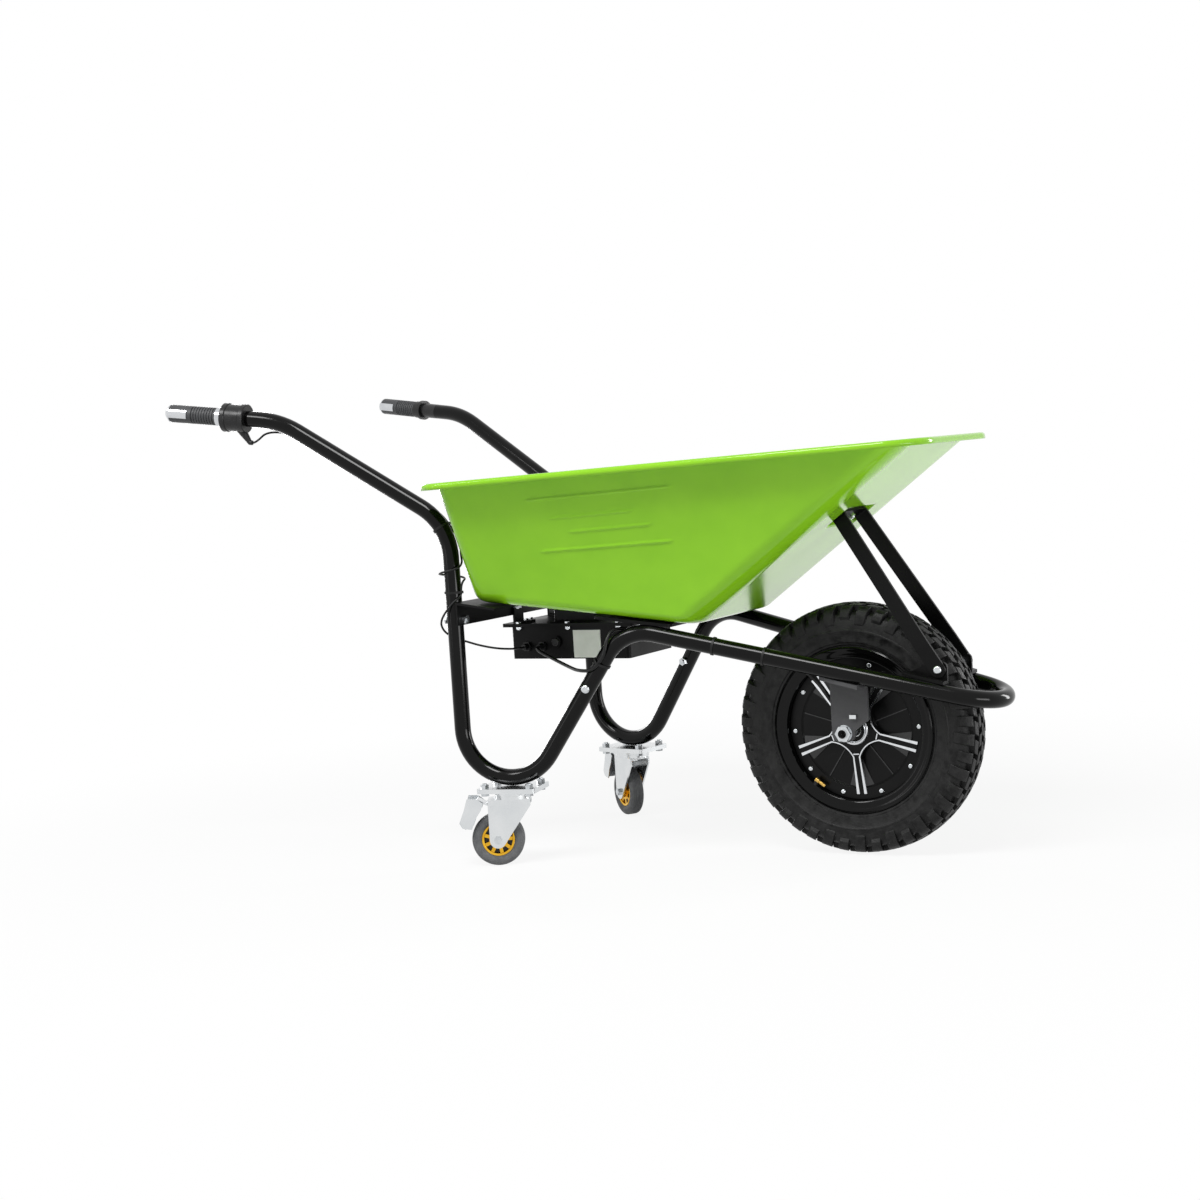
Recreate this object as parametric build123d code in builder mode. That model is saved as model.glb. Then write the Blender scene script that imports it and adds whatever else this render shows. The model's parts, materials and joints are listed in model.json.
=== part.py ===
from build123d import *
import os
from math import atan, cos, degrees, pi, radians, sin, sqrt, tan

# Electric wheelbarrow: a hub-motor front wheel, a pressed tray on a V-shaped tube frame, a battery box
# under the tray, a twist throttle on the right handle and two braked swivel casters.
# Millimetres. +X is forward, +Y is the user's left, +Z is up. The floor is Z = 0 and the origin lies
# below the middle of the barrow's length and width.

# Drive wheel and tyre
TYRE_OD = 420
TYRE_WIDTH = 84
TYRE_WALL = 7
TYRE_FIT = 0.3
TYRE_SECTION = 72
SIDEWALL_RISE = 34
SHOULDER_Y = 37
INNER_SHOULDER_Y = 29
BEAD_RISE = 1.5
BEAD_IN_Y = 22
TREAD_DEPTH = 9
TREAD_LUGS = 36
LUG_GAP = 11
LUG_LENGTH = 24
LUG_DEPTH = 12
RIM_FLANGE_R = TYRE_OD / 2 - TYRE_SECTION
SIDEWALL_R = RIM_FLANGE_R + SIDEWALL_RISE
RIM_FLANGE_T = 5
RIM_HALF_WIDTH = 37
RIM_FLANGE_H = 11
BEAD_R = RIM_FLANGE_R - RIM_FLANGE_H
BARREL_WALL = 8
COVER_FACE_Y = 21
COVER_T = 5
COVER_SCREW_INSET = 16.5
COVER_SCREW_R = BEAD_R - COVER_SCREW_INSET
COVER_SCREWS = 10
COVER_SCREW_SHANK = 2.4
COVER_SCREW_L = 14
COVER_GAP = 0.3
ROTOR_INSET = 23
ROTOR_R = BEAD_R - ROTOR_INSET
SPOKES = 5
SPOKE_WIDTH = 20
SPOKE_RISE = 3
SPOKE_IN_R = 24
SPOKE_INSET = 15
SPOKE_OUT_R = BEAD_R - SPOKE_INSET
WHEEL_TURN = 2.7
HUB_BOSS_R = 22
HUB_BOSS_Y = 33
BEARING_R = 16
BEARING_W = 10
AXLE_R = 8
AXLE_SHOULDER_R = 12
SLEEVE_R = 11.5
BEARING_SIDE_GAP = 0.3
BOSS_LIP_T = 5
BOSS_HOLE_R = 12.5
BOSS_FOOT_R = 34
MAGNETS = 30
MAGNET_T = 4
MAGNET_W = 17
MAGNET_ROOM = 0.4
AIR_GAP = 0.7
STATOR_SLOTS = 24
STATOR_WIDTH = 26
SLOT_DEPTH = 28
SLOT_W = 9
VALVE_R = 4
VALVE_L = 26
VALVE_Y = 30
VALVE_INSET = 26
VALVE_IN_R = BEAD_R - VALVE_INSET
VALVE_ANGLE = 234

# V-shaped frame: each side lies in its own upright plane, measured from the axle
SIDE_ANGLE = 11
SIDE_Y = 109
TUBE_OD = 28
TUBE_WALL = 2
HANDLE_BACK = 1172
HANDLE_Z = 808
HANDLE_BEND_BACK = 953
HANDLE_BEND_Z = 780
HANDLE_BEND_R = 170
LEG_BACK = 650
LEG_BEND_Z = 586
LEG_BEND_R = 105
FOOT_BEND_R = 85
LIMB_ANGLE = 56
FRONT_BEND_R = 80
RUN_ANGLE = 13
RUN_Z_AT_AXLE = 318.5
NOSE_BEND_R = 73
JOINT_TO_BEND = 121
SPIGOT_L = 65
SEAM_TO_JOINT = 35
STEP_L = 8
SPIGOT_GAP = 0.1
WELD_GAP = 0.15

# Fasteners
BOLT_R = 4
BOLT_GAP = 0.2
HEAD_RATIO = 1.85
HEAD_T_RATIO = 1.2
NUT_T_RATIO = 1.6
NUT_GAP = 0.05

# Tray
FLOOR_TILT = 8
RIM_TILT = 2
RIM_Z_AT_AXLE = 678
TRAY_T = 2
FLOOR_REAR_BACK = 608
FLOOR_FRONT_BACK = 220
FLOOR_OVERHANG = 11
WALL_REAR_BACK = 617
FRONT_WALL_ANGLE = 36.4
WALL_OVERHANG = 87
FLOOR_REAR_R = 30
FLOOR_FRONT_R = 55
RIM_REAR_R = 22
RIM_FRONT_R = 60
TRAY_FOOT_R = 28
RIM_FLANGE = 24
RIM_LIP = 9
POCKET_DEPTH = 10
POCKET_L = 112
POCKET_H = 42

# Tray supports
SUPPORT_T = 5
SUPPORT_REAR_BACK = 395
SUPPORT_FRONT_BACK = 262
SUPPORT_OVERHANG = 6
SUPPORT_CORNER_R = 12
CROSSBAR_T = 4
CROSSBAR_H = 40
CROSSBAR_FLANGE = 78
CROSSBAR_END = 20
CROSSBAR_BOLT_DROP = 31
TRAY_BOLT_REAR_BACK = 561
TRAY_BOLT_REAR_Y = 150
TRAY_BOLT_FRONT_BACK = 300
TRAY_BOLT_FRONT_Y = 110

# Brace between the tray's front wall and the loop
BRACE_SEAT_Z = 561
BRACE_LEAN = 33
BRACE_T = 5
BRACE_W = 25
BRACE_TOP_Y = 47
BRACE_END_Y = 64
BRACE_REACH = 305
BRACE_SET = 45
BRACE_BEND_R = 9
BRACE_END_FLAT = 0.5
TAB_T = 5
TAB_BACK_L = 55
TAB_FRONT_L = 14
TAB_FOOT_W = 26
TAB_ABOVE = 12
TAB_ROUND = 8

# Axle plates
PLATE_Y = 66
PLATE_T = 6
PLATE_FRONT = 43
PLATE_BACK = 22
PLATE_BELOW = 15
PLATE_TOE = 18
PLATE_TOE_TOP = 22
PLATE_TOE_END = 4
PLATE_CORNER_R = 14
PLATE_FLANGE = 48
PLATE_GAP = 0.3
NUT_H = 9
NUT_FLANGE_T = 2
AXLE_STANDOUT = 2
NUT_AF = 24
WASHER_T = 2.5
WASHER_R = 14
TAB_SLOT_X = 18
TAB_SLOT_Z = 28
TAB_SLOT_L = 12
TAB_SLOT_H = 7
TAB_STANDOUT = 6

# Battery box
BOX_REAR_BACK = 622
BOX_L = 236
BOX_W = 160
BOX_H = 60
BOX_WALL = 2.5
BOX_TOP_Z = 396
LIP = 9
LIP_END = 14
LIP_T = 3
LID_T = 3
BOX_CORNER_R = 6
PACK_GAP = 8
PACK_ROUND = 3
PACK_H = 46
LID_SCREW_R = 2.5
LID_SCREW_PITCH = 100
CONTROLLER_L = 86
CONTROLLER_W = 76
CONTROLLER_H = 18
CONTROLLER_BACK = 516
FIN_T = 2.5
FIN_PITCH = 6
FIN_SLOTS = 12
FIN_H = 9
GLAND_R = 9
GLAND_L = 15
GLAND_TAPER = 8
GLAND_BACK = (590, 559)
GLAND_Z = 358
BUTTON_BACK = 530
BUTTON_Z = 366
BUTTON_R = 7
BUTTON_TRAVEL = 2.5
BUTTON_ROUND = 1.5
BEZEL_W = 3
BEZEL_L = 5
BLANK_PLATE_L = 54
BLANK_PLATE_H = 48
BLANK_PLATE_T = 1
BLANK_PLATE_AHEAD = 35
BLANK_PLATE_Z = 362
HANGER_W = 30
HANGER_T = 4
HANGER_FOOT = 28
HANGER_Y = 60
HANGER_DROP = 12
SPACER_R = 8
SPACER_BOLT_L = 12

# Handles: distances along the handle from its end
BAR_R = 11
GRIP_R = 15.5
GRIP_END = 100
GRIP_RIB = 1
GRIP_RIBS = 12
GRIP_RIB_PITCH = 3.6
GRIP_RIB_INSET = 5
CAP_L = 9
CAP_ROUND = 7
CAP_FLOOR = 4
WING_L = 36
WING_T = 1.6
WING_ANGLE = 50
RING_L = 12
RING_R = 16.5
HOUSING_L = 45
HOUSING_R = 23.5
HOUSING_WALL_END = 4
HOUSING_GAP = 0.5
GRIP_FIT = 0.06
BOOT_L = 29
BOOT_ANGLE = 51
NOZZLE_L = 5
BOOT_R = 8.5
BOOT_TIP_R = 4.2
BOOT_INSET = 12
BOOT_DROP = 18.5
HOUSING_ROUND = 3
SPRING_ROOM_L = 14
SPRING_ROOM_H = 6
SPRING_WIRE_R = 0.9
SPRING_GAP = 0.25
SPRING_TURNS = 4
SPRING_PITCH = 2.6
COLLAR_L = 8
COLLAR_R = 19

# Casters, seen from the swivel axis with the wheel trailing
CASTER_H = 130
CASTER_OD = 90
CASTER_W = 26
CASTER_RIM_R = 28
CASTER_TRAIL = 30
CASTER_HUB_R = 12
CASTER_WEB = 8
CASTER_RIM_W = 22
CASTER_RIM_T = 5
CASTER_ROUND = 8
PLATE_ROUND = 6
CASTER_PLATE_L = 105
CASTER_PLATE_W = 80
CASTER_PLATE_T = 3
CASTER_BOLTS_L = 80
CASTER_BOLTS_W = 60
LEG_PLATE_T = 5
KINGPIN_R = 6
KINGPIN_HEAD_R = 11
KINGPIN_HEAD_T = 5
RACE_R = 30
RACE_T = 6
RACE_GAP = 0.4
FORK_T = 3
FORK_INSIDE = 33
FORK_FRONT = 29
FORK_REAR = 44
FORK_SHOULDER = 12
FORK_END_R = 14
CASTER_AXLE_R = 4
CASTER_HEAD_R = 7
CASTER_HEAD_T = 5
RUN_FIT = 0.06
SIDE_GAP = 0.4
PEDAL_PIVOT_X = -37
PEDAL_PIVOT_Z = 102
PEDAL_PIN_R = 2.5
PEDAL_W = 30
PEDAL_T = 2.5
PEDAL_TOP_X = -62
PEDAL_TOP_Z = 115
PEDAL_TIP_X = -84
PEDAL_TIP_Z = 68
PEDAL_FIN_W = 44
CASTER_YAW = {"right": 28, "left": -37}

# Cables
CABLE_R = 1.8
MOTOR_CABLE_R = 3
CABLE_GAP = 0.35
CORD_TANGENT = 0.45
BEND_LAY_FACTOR = 1.04
CABLE_JOIN = 53
CABLE_LEAD = 6
CABLE_RISE_X = 32
CABLE_RISE_DROP = 3
CABLE_RISE_IN = 20
BEND_TIE_TURN = 30
BEND_TIE_AROUND = 135
BEND_TIE_HALF = 8
WRAP_SLACK = 2.4
WRAP_TIE_ABOVE = 16
LIMB_TIE = 71
TAIL_START = 26
TAIL_L = 72
TAIL_W = 3
TAIL_T = 1
TAIL_REAR = 10.5
TIE_SLACK = 0.7
RUN_CABLE_START = -290
RUN_CABLE_END = -72
RUN_TIES = (-196, -112)
LEAD_Y = 53
LEAD_ANGLE = 117
TIE_T = 1.2
TIE_W = 4

SIDES = {"right": -1, "left": 1}
TUBE_R = TUBE_OD / 2
TUBE_BORE_R = TUBE_R - TUBE_WALL
AXLE_Z = TYRE_OD / 2
slope = tan(radians(SIDE_ANGLE))
side_cos = cos(radians(SIDE_ANGLE))
side_sin = sin(radians(SIDE_ANGLE))

# Shape of one frame side in its own plane: along is forward from the axle, then height
foot_z = CASTER_H + LEG_PLATE_T + WELD_GAP + TUBE_R
limb = radians(LIMB_ANGLE)
run = radians(RUN_ANGLE)
foot_centre = (FOOT_BEND_R - LEG_BACK, foot_z + FOOT_BEND_R)
limb_start = (foot_centre[0] + FOOT_BEND_R * sin(limb), foot_centre[1] - FOOT_BEND_R * cos(limb))
foot_tangent = FOOT_BEND_R * tan((radians(90) + limb) / 2)
foot_corner = (limb_start[0] - foot_tangent * cos(limb), limb_start[1] - foot_tangent * sin(limb))
limb_z_at_axle = limb_start[1] - limb_start[0] * tan(limb)
bend_along = (RUN_Z_AT_AXLE - limb_z_at_axle) / (tan(limb) + tan(run))
bend_corner = (bend_along, RUN_Z_AT_AXLE - bend_along * tan(run))


def along_limb(distance):
    """Point on the limb below the front bend's corner."""
    return (bend_corner[0] - distance * cos(limb), bend_corner[1] - distance * sin(limb))


joint = along_limb(JOINT_TO_BEND)
seam = along_limb(JOINT_TO_BEND + SEAM_TO_JOINT)

# Nose of the loop, in the sloping plane that holds both forward runs
nose_tilt = atan(tan(run) / side_cos)
nose_half = atan(slope * cos(nose_tilt))
nose_centre = (SIDE_Y - NOSE_BEND_R / cos(nose_half)) / tan(nose_half)
nose_reach = (nose_centre + NOSE_BEND_R) * cos(nose_tilt) + TUBE_R

# Handle direction and the rearmost point of the rounded cap
handle_tilt = atan((HANDLE_Z - HANDLE_BEND_Z) / (HANDLE_BACK - HANDLE_BEND_BACK))
back_cos = cos(handle_tilt) * side_cos
back_sin = sqrt(1 - back_cos**2)
handle_reach = HANDLE_BACK * side_cos + CAP_ROUND * (1 - back_cos) + (GRIP_R - CAP_ROUND) * back_sin
AXLE_X = (handle_reach - nose_reach) / 2


def side_point(side, along, height, out=0):
    """Point on a frame side; out is measured square to the side, away from the middle."""
    x = AXLE_X + along * side_cos + out * side_sin
    y = SIDE_Y - along * side_sin + out * side_cos
    return Vector(x, side * y, height)


def side_y(back):
    """Half width between the side planes at a distance behind the axle."""
    return SIDE_Y + back * slope


# Floor of the tray: rests on the support plate, which touches the front bends where they slope alike
half_turn = (limb + run) / 2
inward = Vector(cos(run) - cos(limb), -sin(run) - sin(limb)).normalized()
bend_centre = Vector(*bend_corner) + inward * (FRONT_BEND_R / cos(half_turn))
floor_tilt = radians(FLOOR_TILT)
touch_angle = atan(tan(floor_tilt) * side_cos)
touch = bend_centre + Vector(sin(touch_angle), cos(touch_angle)) * FRONT_BEND_R
touch_rise = (TUBE_R + WELD_GAP) / cos(floor_tilt)
support_z_at_axle = touch.Y + touch_rise + touch.X * side_cos * tan(floor_tilt)
floor_z_at_axle = support_z_at_axle + SUPPORT_T / cos(floor_tilt)


def support_z(back):
    """Underside of the support plate."""
    return support_z_at_axle + back * tan(floor_tilt)


def floor_z(back):
    """Underside of the tray's floor."""
    return floor_z_at_axle + back * tan(floor_tilt)


def tilted_plane(height_at_axle, tilt_down):
    """Plane across the barrow that falls towards the front by a tilt in radians."""
    return Plane(
        origin=(AXLE_X, 0, height_at_axle),
        x_dir=(cos(tilt_down), 0, -sin(tilt_down)),
        z_dir=(sin(tilt_down), 0, cos(tilt_down)),
    )


floor_plane = tilted_plane(floor_z_at_axle, floor_tilt)
support_plane = tilted_plane(support_z_at_axle, floor_tilt)
rim_tilt = radians(RIM_TILT)
rim_plane = tilted_plane(RIM_Z_AT_AXLE, -rim_tilt)
front_wall = radians(FRONT_WALL_ANGLE)
wall_z_at_axle = floor_z(FLOOR_FRONT_BACK) + FLOOR_FRONT_BACK * tan(front_wall)
wall_front = (RIM_Z_AT_AXLE - wall_z_at_axle) / (tan(front_wall) - tan(rim_tilt))
brace_seat_x = (BRACE_SEAT_Z - wall_z_at_axle) / tan(front_wall)



def side_view(y):
    """Upright plane along the barrow, facing the user's right; local x is forward of the axle."""
    return Plane(origin=(AXLE_X, y, 0), x_dir=(1, 0, 0), z_dir=(0, -1, 0))


def run_top(x):
    """Top line of the loop's forward runs, just clear of the tube."""
    return RUN_Z_AT_AXLE - x * tan(nose_tilt) + (TUBE_R + WELD_GAP) / cos(nose_tilt)


def run_bottom(x):
    """Bottom line of the loop's forward runs, just clear of the tube."""
    return RUN_Z_AT_AXLE - x * tan(nose_tilt) - (TUBE_R + WELD_GAP) / cos(nose_tilt)


def screw_start(side):
    """First screw angle of a cover in its own plane; the left plane is turned over, its angles run back."""
    return WHEEL_TURN if side == SIDES["right"] else 180 - WHEEL_TURN


os.makedirs("parts", exist_ok=True)


def save(piece, label):
    """Label a finished piece and write its file."""
    piece.label = label
    export_step(piece, f"parts/{label}.step")


def screw(place, length, radius=BOLT_R, dome=False):
    """Headed screw along a plane's normal; the head sits on the plane and the shank runs below it."""
    head_r = radius * HEAD_RATIO
    head_t = radius * HEAD_T_RATIO
    with BuildPart() as bolt:
        with BuildSketch(place):
            if dome:
                Circle(head_r)
            else:
                RegularPolygon(head_r, 6)
        extrude(amount=head_t)
        if dome:
            top = bolt.faces().sort_by(Axis(place.origin, place.z_dir))[-1]
            fillet(top.edges(), head_t * 0.8)
        with BuildSketch(place):
            Circle(radius)
        extrude(amount=-length)
    return bolt.part


def hex_bolt(place, grip, radius=BOLT_R, dome=False):
    """Screw with a nut past its grip."""
    nut_t = radius * NUT_T_RATIO
    with BuildPart() as nut:
        with BuildSketch(place.offset(-grip)):
            RegularPolygon(radius * HEAD_RATIO, 6)
            Circle(radius + NUT_GAP, mode=Mode.SUBTRACT)
        extrude(amount=-nut_t)
    return [screw(place, grip + nut_t + radius / 2, radius, dome), nut.part]


def bolt_hole(place, depth, radius=BOLT_R):
    """Clearance hole for a bolt through the part being built, to a depth on both sides of a plane."""
    with Locations(place):
        Cylinder(radius + BOLT_GAP, 2 * depth, mode=Mode.SUBTRACT)


# Frame tubes

def handle_point(side, distance):
    """Point on the handle's straight end, at a distance from its rear end."""
    along = -HANDLE_BACK + distance * cos(handle_tilt)
    return side_point(side, along, HANDLE_Z - distance * sin(handle_tilt))


def handle_plane(side, distance):
    """Plane square to the handle, facing its rear end; local y points up."""
    back = (handle_point(side, 0) - handle_point(side, 1)).normalized()
    across = Vector(0, 0, 1).cross(back).normalized()
    return Plane(origin=handle_point(side, distance), x_dir=across, z_dir=back)


def across_plane(side, spot, out):
    """Plane square to a frame side at a spot (along, height), facing away from the middle."""
    outward = side_point(side, 0, 0, 1) - side_point(side, 0, 0)
    return Plane(origin=side_point(side, *spot, out), x_dir=(0, 0, 1), z_dir=outward)


bar_end = CAP_L - CAP_FLOOR
bar_step = GRIP_END + RING_L + HOUSING_L + 3 * HOUSING_GAP
limb_dir = side_point(-1, *along_limb(0)) - side_point(-1, *along_limb(1))
leg_x = AXLE_X - LEG_BACK * side_cos
leg_y = side_y(LEG_BACK * side_cos)
crossbar_x = leg_x + TUBE_R + WELD_GAP
web_x = crossbar_x - AXLE_X
crossbar_top = floor_z(-web_x)
flange_drop = CROSSBAR_T / cos(floor_tilt)
crossbar_bolt_z = crossbar_top - CROSSBAR_BOLT_DROP


def crossbar_bolt_plane(side):
    """Seat of the through bolt's head, behind the leg."""
    return Plane(origin=(leg_x - TUBE_R, side * leg_y, crossbar_bolt_z), x_dir=(0, 1, 0), z_dir=(-1, 0, 0))


with BuildPart() as rear_frame_tube_right:
    with BuildLine() as rear_route:
        FilletPolyline(
            handle_point(-1, bar_step),
            side_point(-1, -HANDLE_BEND_BACK, HANDLE_BEND_Z),
            side_point(-1, -LEG_BACK, LEG_BEND_Z),
            side_point(-1, *foot_corner),
            side_point(-1, *seam),
            radius=[HANDLE_BEND_R, LEG_BEND_R, FOOT_BEND_R],
        )
    with BuildSketch(Plane(origin=rear_route.line @ 0, z_dir=rear_route.line % 0)):
        Circle(TUBE_R)
        Circle(TUBE_BORE_R, mode=Mode.SUBTRACT)
    sweep()
    with BuildSketch(handle_plane(-1, bar_step)):
        Circle(TUBE_R)
        Circle(BAR_R - TUBE_WALL, mode=Mode.SUBTRACT)
    extrude(amount=-STEP_L)
    with BuildSketch(handle_plane(-1, bar_step)):
        Circle(BAR_R)
        Circle(BAR_R - TUBE_WALL, mode=Mode.SUBTRACT)
    extrude(amount=bar_step - bar_end)
    spigot_r = TUBE_BORE_R - SPIGOT_GAP
    with BuildSketch(Plane(origin=side_point(-1, *seam), z_dir=limb_dir)):
        Circle(TUBE_R)
        Circle(spigot_r - TUBE_WALL, mode=Mode.SUBTRACT)
    extrude(amount=-STEP_L)
    with BuildSketch(Plane(origin=side_point(-1, *seam), z_dir=limb_dir)):
        Circle(spigot_r)
        Circle(spigot_r - TUBE_WALL, mode=Mode.SUBTRACT)
    extrude(amount=SPIGOT_L)
    bolt_hole(across_plane(-1, joint, 0), TUBE_OD)
    bolt_hole(crossbar_bolt_plane(-1), TUBE_OD + TUBE_R)
save(rear_frame_tube_right.part, "rear_frame_tube_right")

with BuildPart() as rear_frame_tube_left:
    mirror(rear_frame_tube_right.part, about=Plane.XZ)
save(rear_frame_tube_left.part, "rear_frame_tube_left")

loop_apex = Vector(AXLE_X + SIDE_Y / slope, 0, RUN_Z_AT_AXLE - SIDE_Y / slope * tan(nose_tilt))
with BuildPart() as front_loop_tube:
    with BuildLine() as loop_route:
        FilletPolyline(
            side_point(-1, *seam),
            side_point(-1, *bend_corner),
            loop_apex,
            side_point(1, *bend_corner),
            side_point(1, *seam),
            radius=[FRONT_BEND_R, NOSE_BEND_R, FRONT_BEND_R],
        )
    with BuildSketch(Plane(origin=loop_route.line @ 0, z_dir=loop_route.line % 0)):
        Circle(TUBE_R)
        Circle(TUBE_BORE_R, mode=Mode.SUBTRACT)
    sweep()
    for side in SIDES.values():
        bolt_hole(across_plane(side, joint, 0), TUBE_OD)
save(front_loop_tube.part, "front_loop_tube")

joint_fasteners = []
for side in SIDES.values():
    joint_fasteners += hex_bolt(across_plane(side, joint, TUBE_R), TUBE_OD, dome=True)
with BuildPart() as frame_joint_bolts:
    add(joint_fasteners)
save(frame_joint_bolts.part, "frame_joint_bolts")


# Tray, its supports and their bolts

def tray_outline(tilt, rear, front, overhang, rear_r, front_r):
    """Corners and radii of a tray section, in the local axes of its tilted plane."""
    rear_half = side_y(rear) + overhang
    front_half = side_y(front) + overhang
    rear_x = -rear / cos(tilt)
    front_x = -front / cos(tilt)
    corners = [(rear_x, -rear_half), (front_x, -front_half), (front_x, front_half), (rear_x, rear_half)]
    return corners, [rear_r, front_r, front_r, rear_r]


def floor_section(inset):
    """Outline of the tray's floor, drawn in by an inset."""
    return tray_outline(
        floor_tilt, FLOOR_REAR_BACK - inset, FLOOR_FRONT_BACK + inset, FLOOR_OVERHANG - inset,
        FLOOR_REAR_R - inset, FLOOR_FRONT_R - inset,
    )


def rim_section(inset):
    """Outline at the rim's height, drawn in by an inset."""
    return tray_outline(
        rim_tilt, WALL_REAR_BACK - inset, inset - wall_front, WALL_OVERHANG - inset,
        RIM_REAR_R - inset, RIM_FRONT_R - inset,
    )


def tray_face(section):
    """Rounded face from a section's corners and radii, made flat for a sketch to take."""
    corners, radii = section
    with BuildSketch(mode=Mode.PRIVATE) as face:
        with BuildLine():
            FilletPolyline(*corners, radius=radii, close=True)
        make_face()
    return face.sketch


def tray_bolt_plane(back, y):
    """Seat of a tray bolt's head on the floor inside the tray."""
    spot = (-back / cos(floor_tilt), y)
    origin = floor_plane.from_local_coords((*spot, TRAY_T))
    return Plane(origin=origin, x_dir=floor_plane.x_dir, z_dir=floor_plane.z_dir)


brace_lean = radians(BRACE_LEAN)
brace_dir = Vector(sin(brace_lean), 0, -cos(brace_lean))
brace_seat = Vector(AXLE_X + brace_seat_x, 0, BRACE_SEAT_Z) - brace_dir * POCKET_DEPTH
seat_plane = Plane(origin=brace_seat, x_dir=(0, 1, 0), z_dir=brace_dir)
brace_plane = Plane(
    origin=brace_seat + brace_dir * WELD_GAP, x_dir=(0, 1, 0), z_dir=(-cos(brace_lean), 0, -sin(brace_lean))
)
pocket_reach = 3 * POCKET_DEPTH

tray_spots = [
    (TRAY_BOLT_REAR_BACK, TRAY_BOLT_REAR_Y, CROSSBAR_T),
    (TRAY_BOLT_FRONT_BACK, TRAY_BOLT_FRONT_Y, SUPPORT_T),
]
with BuildPart() as tray_inside:
    with BuildSketch(floor_plane.offset(TRAY_T)):
        add(tray_face(floor_section(TRAY_T)))
    with BuildSketch(rim_plane):
        add(tray_face(rim_section(TRAY_T)))
    loft(ruled=True)
    fillet(tray_inside.faces().sort_by(Axis.Z)[0].edges(), TRAY_FOOT_R - TRAY_T)

# Pocket pressed into the front wall for the brace: its hollow, and the walls left standing inside the tray
with BuildPart() as pocket_hollow:
    with BuildSketch(seat_plane):
        Rectangle(POCKET_L, POCKET_H)
    extrude(amount=pocket_reach)
with BuildPart() as pocket_walls:
    with BuildSketch(seat_plane.offset(-TRAY_T)):
        Rectangle(POCKET_L + 2 * TRAY_T, POCKET_H + 2 * TRAY_T)
    extrude(amount=pocket_reach)
    add(tray_inside.part, mode=Mode.INTERSECT)
    add(pocket_hollow.part, mode=Mode.SUBTRACT)

with BuildPart() as tray:
    with BuildSketch(floor_plane):
        add(tray_face(floor_section(0)))
    with BuildSketch(rim_plane):
        add(tray_face(rim_section(0)))
    loft(ruled=True)
    fillet(tray.faces().sort_by(Axis.Z)[0].edges(), TRAY_FOOT_R)
    with BuildSketch(rim_plane):
        add(tray_face(rim_section(-RIM_FLANGE)))
    extrude(amount=-TRAY_T)
    with BuildSketch(rim_plane):
        add(tray_face(rim_section(-RIM_FLANGE)))
        add(tray_face(rim_section(TRAY_T - RIM_FLANGE)), mode=Mode.SUBTRACT)
    extrude(amount=-RIM_LIP)
    add(tray_inside.part, mode=Mode.SUBTRACT)
    add(pocket_hollow.part, mode=Mode.SUBTRACT)
    add(pocket_walls.part)
    for back, y, _ in tray_spots:
        for side in SIDES.values():
            bolt_hole(tray_bolt_plane(back, side * y), TRAY_FOOT_R)
    bolt_hole(seat_plane, POCKET_DEPTH)
save(tray.part, "tray")

tray_fasteners = []
for back, y, seat_t in tray_spots:
    for side in SIDES.values():
        tray_fasteners += hex_bolt(tray_bolt_plane(back, side * y), TRAY_T + seat_t, dome=True)
with BuildPart() as tray_bolts:
    add(tray_fasteners)
save(tray_bolts.part, "tray_bolts")

support_corners, _ = tray_outline(floor_tilt, SUPPORT_REAR_BACK, SUPPORT_FRONT_BACK, SUPPORT_OVERHANG, 0, 0)
with BuildPart() as tray_support_plate:
    with BuildSketch(support_plane):
        with BuildLine():
            Polyline(*support_corners, close=True)
        make_face()
        fillet(vertices(), SUPPORT_CORNER_R)
    extrude(amount=SUPPORT_T)
    for side in SIDES.values():
        bolt_hole(tray_bolt_plane(TRAY_BOLT_FRONT_BACK, side * TRAY_BOLT_FRONT_Y), TRAY_FOOT_R)
save(tray_support_plate.part, "tray_support_plate")


with BuildPart() as rear_crossbar:
    with BuildSketch(side_view(0)):
        with BuildLine():
            Polyline(
                (web_x, floor_z(-web_x)),
                (web_x + CROSSBAR_FLANGE, floor_z(-web_x - CROSSBAR_FLANGE)),
                (web_x + CROSSBAR_FLANGE, floor_z(-web_x - CROSSBAR_FLANGE) - flange_drop),
                (web_x + CROSSBAR_T, floor_z(-web_x - CROSSBAR_T) - flange_drop),
                (web_x + CROSSBAR_T, crossbar_top - CROSSBAR_H),
                (web_x, crossbar_top - CROSSBAR_H),
                close=True,
            )
        make_face()
    extrude(amount=leg_y + CROSSBAR_END, both=True)
    for side in SIDES.values():
        bolt_hole(crossbar_bolt_plane(side), 2 * TUBE_OD)
        bolt_hole(tray_bolt_plane(TRAY_BOLT_REAR_BACK, side * TRAY_BOLT_REAR_Y), TRAY_FOOT_R)
save(rear_crossbar.part, "rear_crossbar")

crossbar_fasteners = []
for side in SIDES.values():
    crossbar_fasteners += hex_bolt(crossbar_bolt_plane(side), TUBE_OD + WELD_GAP + CROSSBAR_T)
with BuildPart() as crossbar_bolts:
    add(crossbar_fasteners)
save(crossbar_bolts.part, "crossbar_bolts")


# Brace from the tray's front wall to the loop

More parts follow.
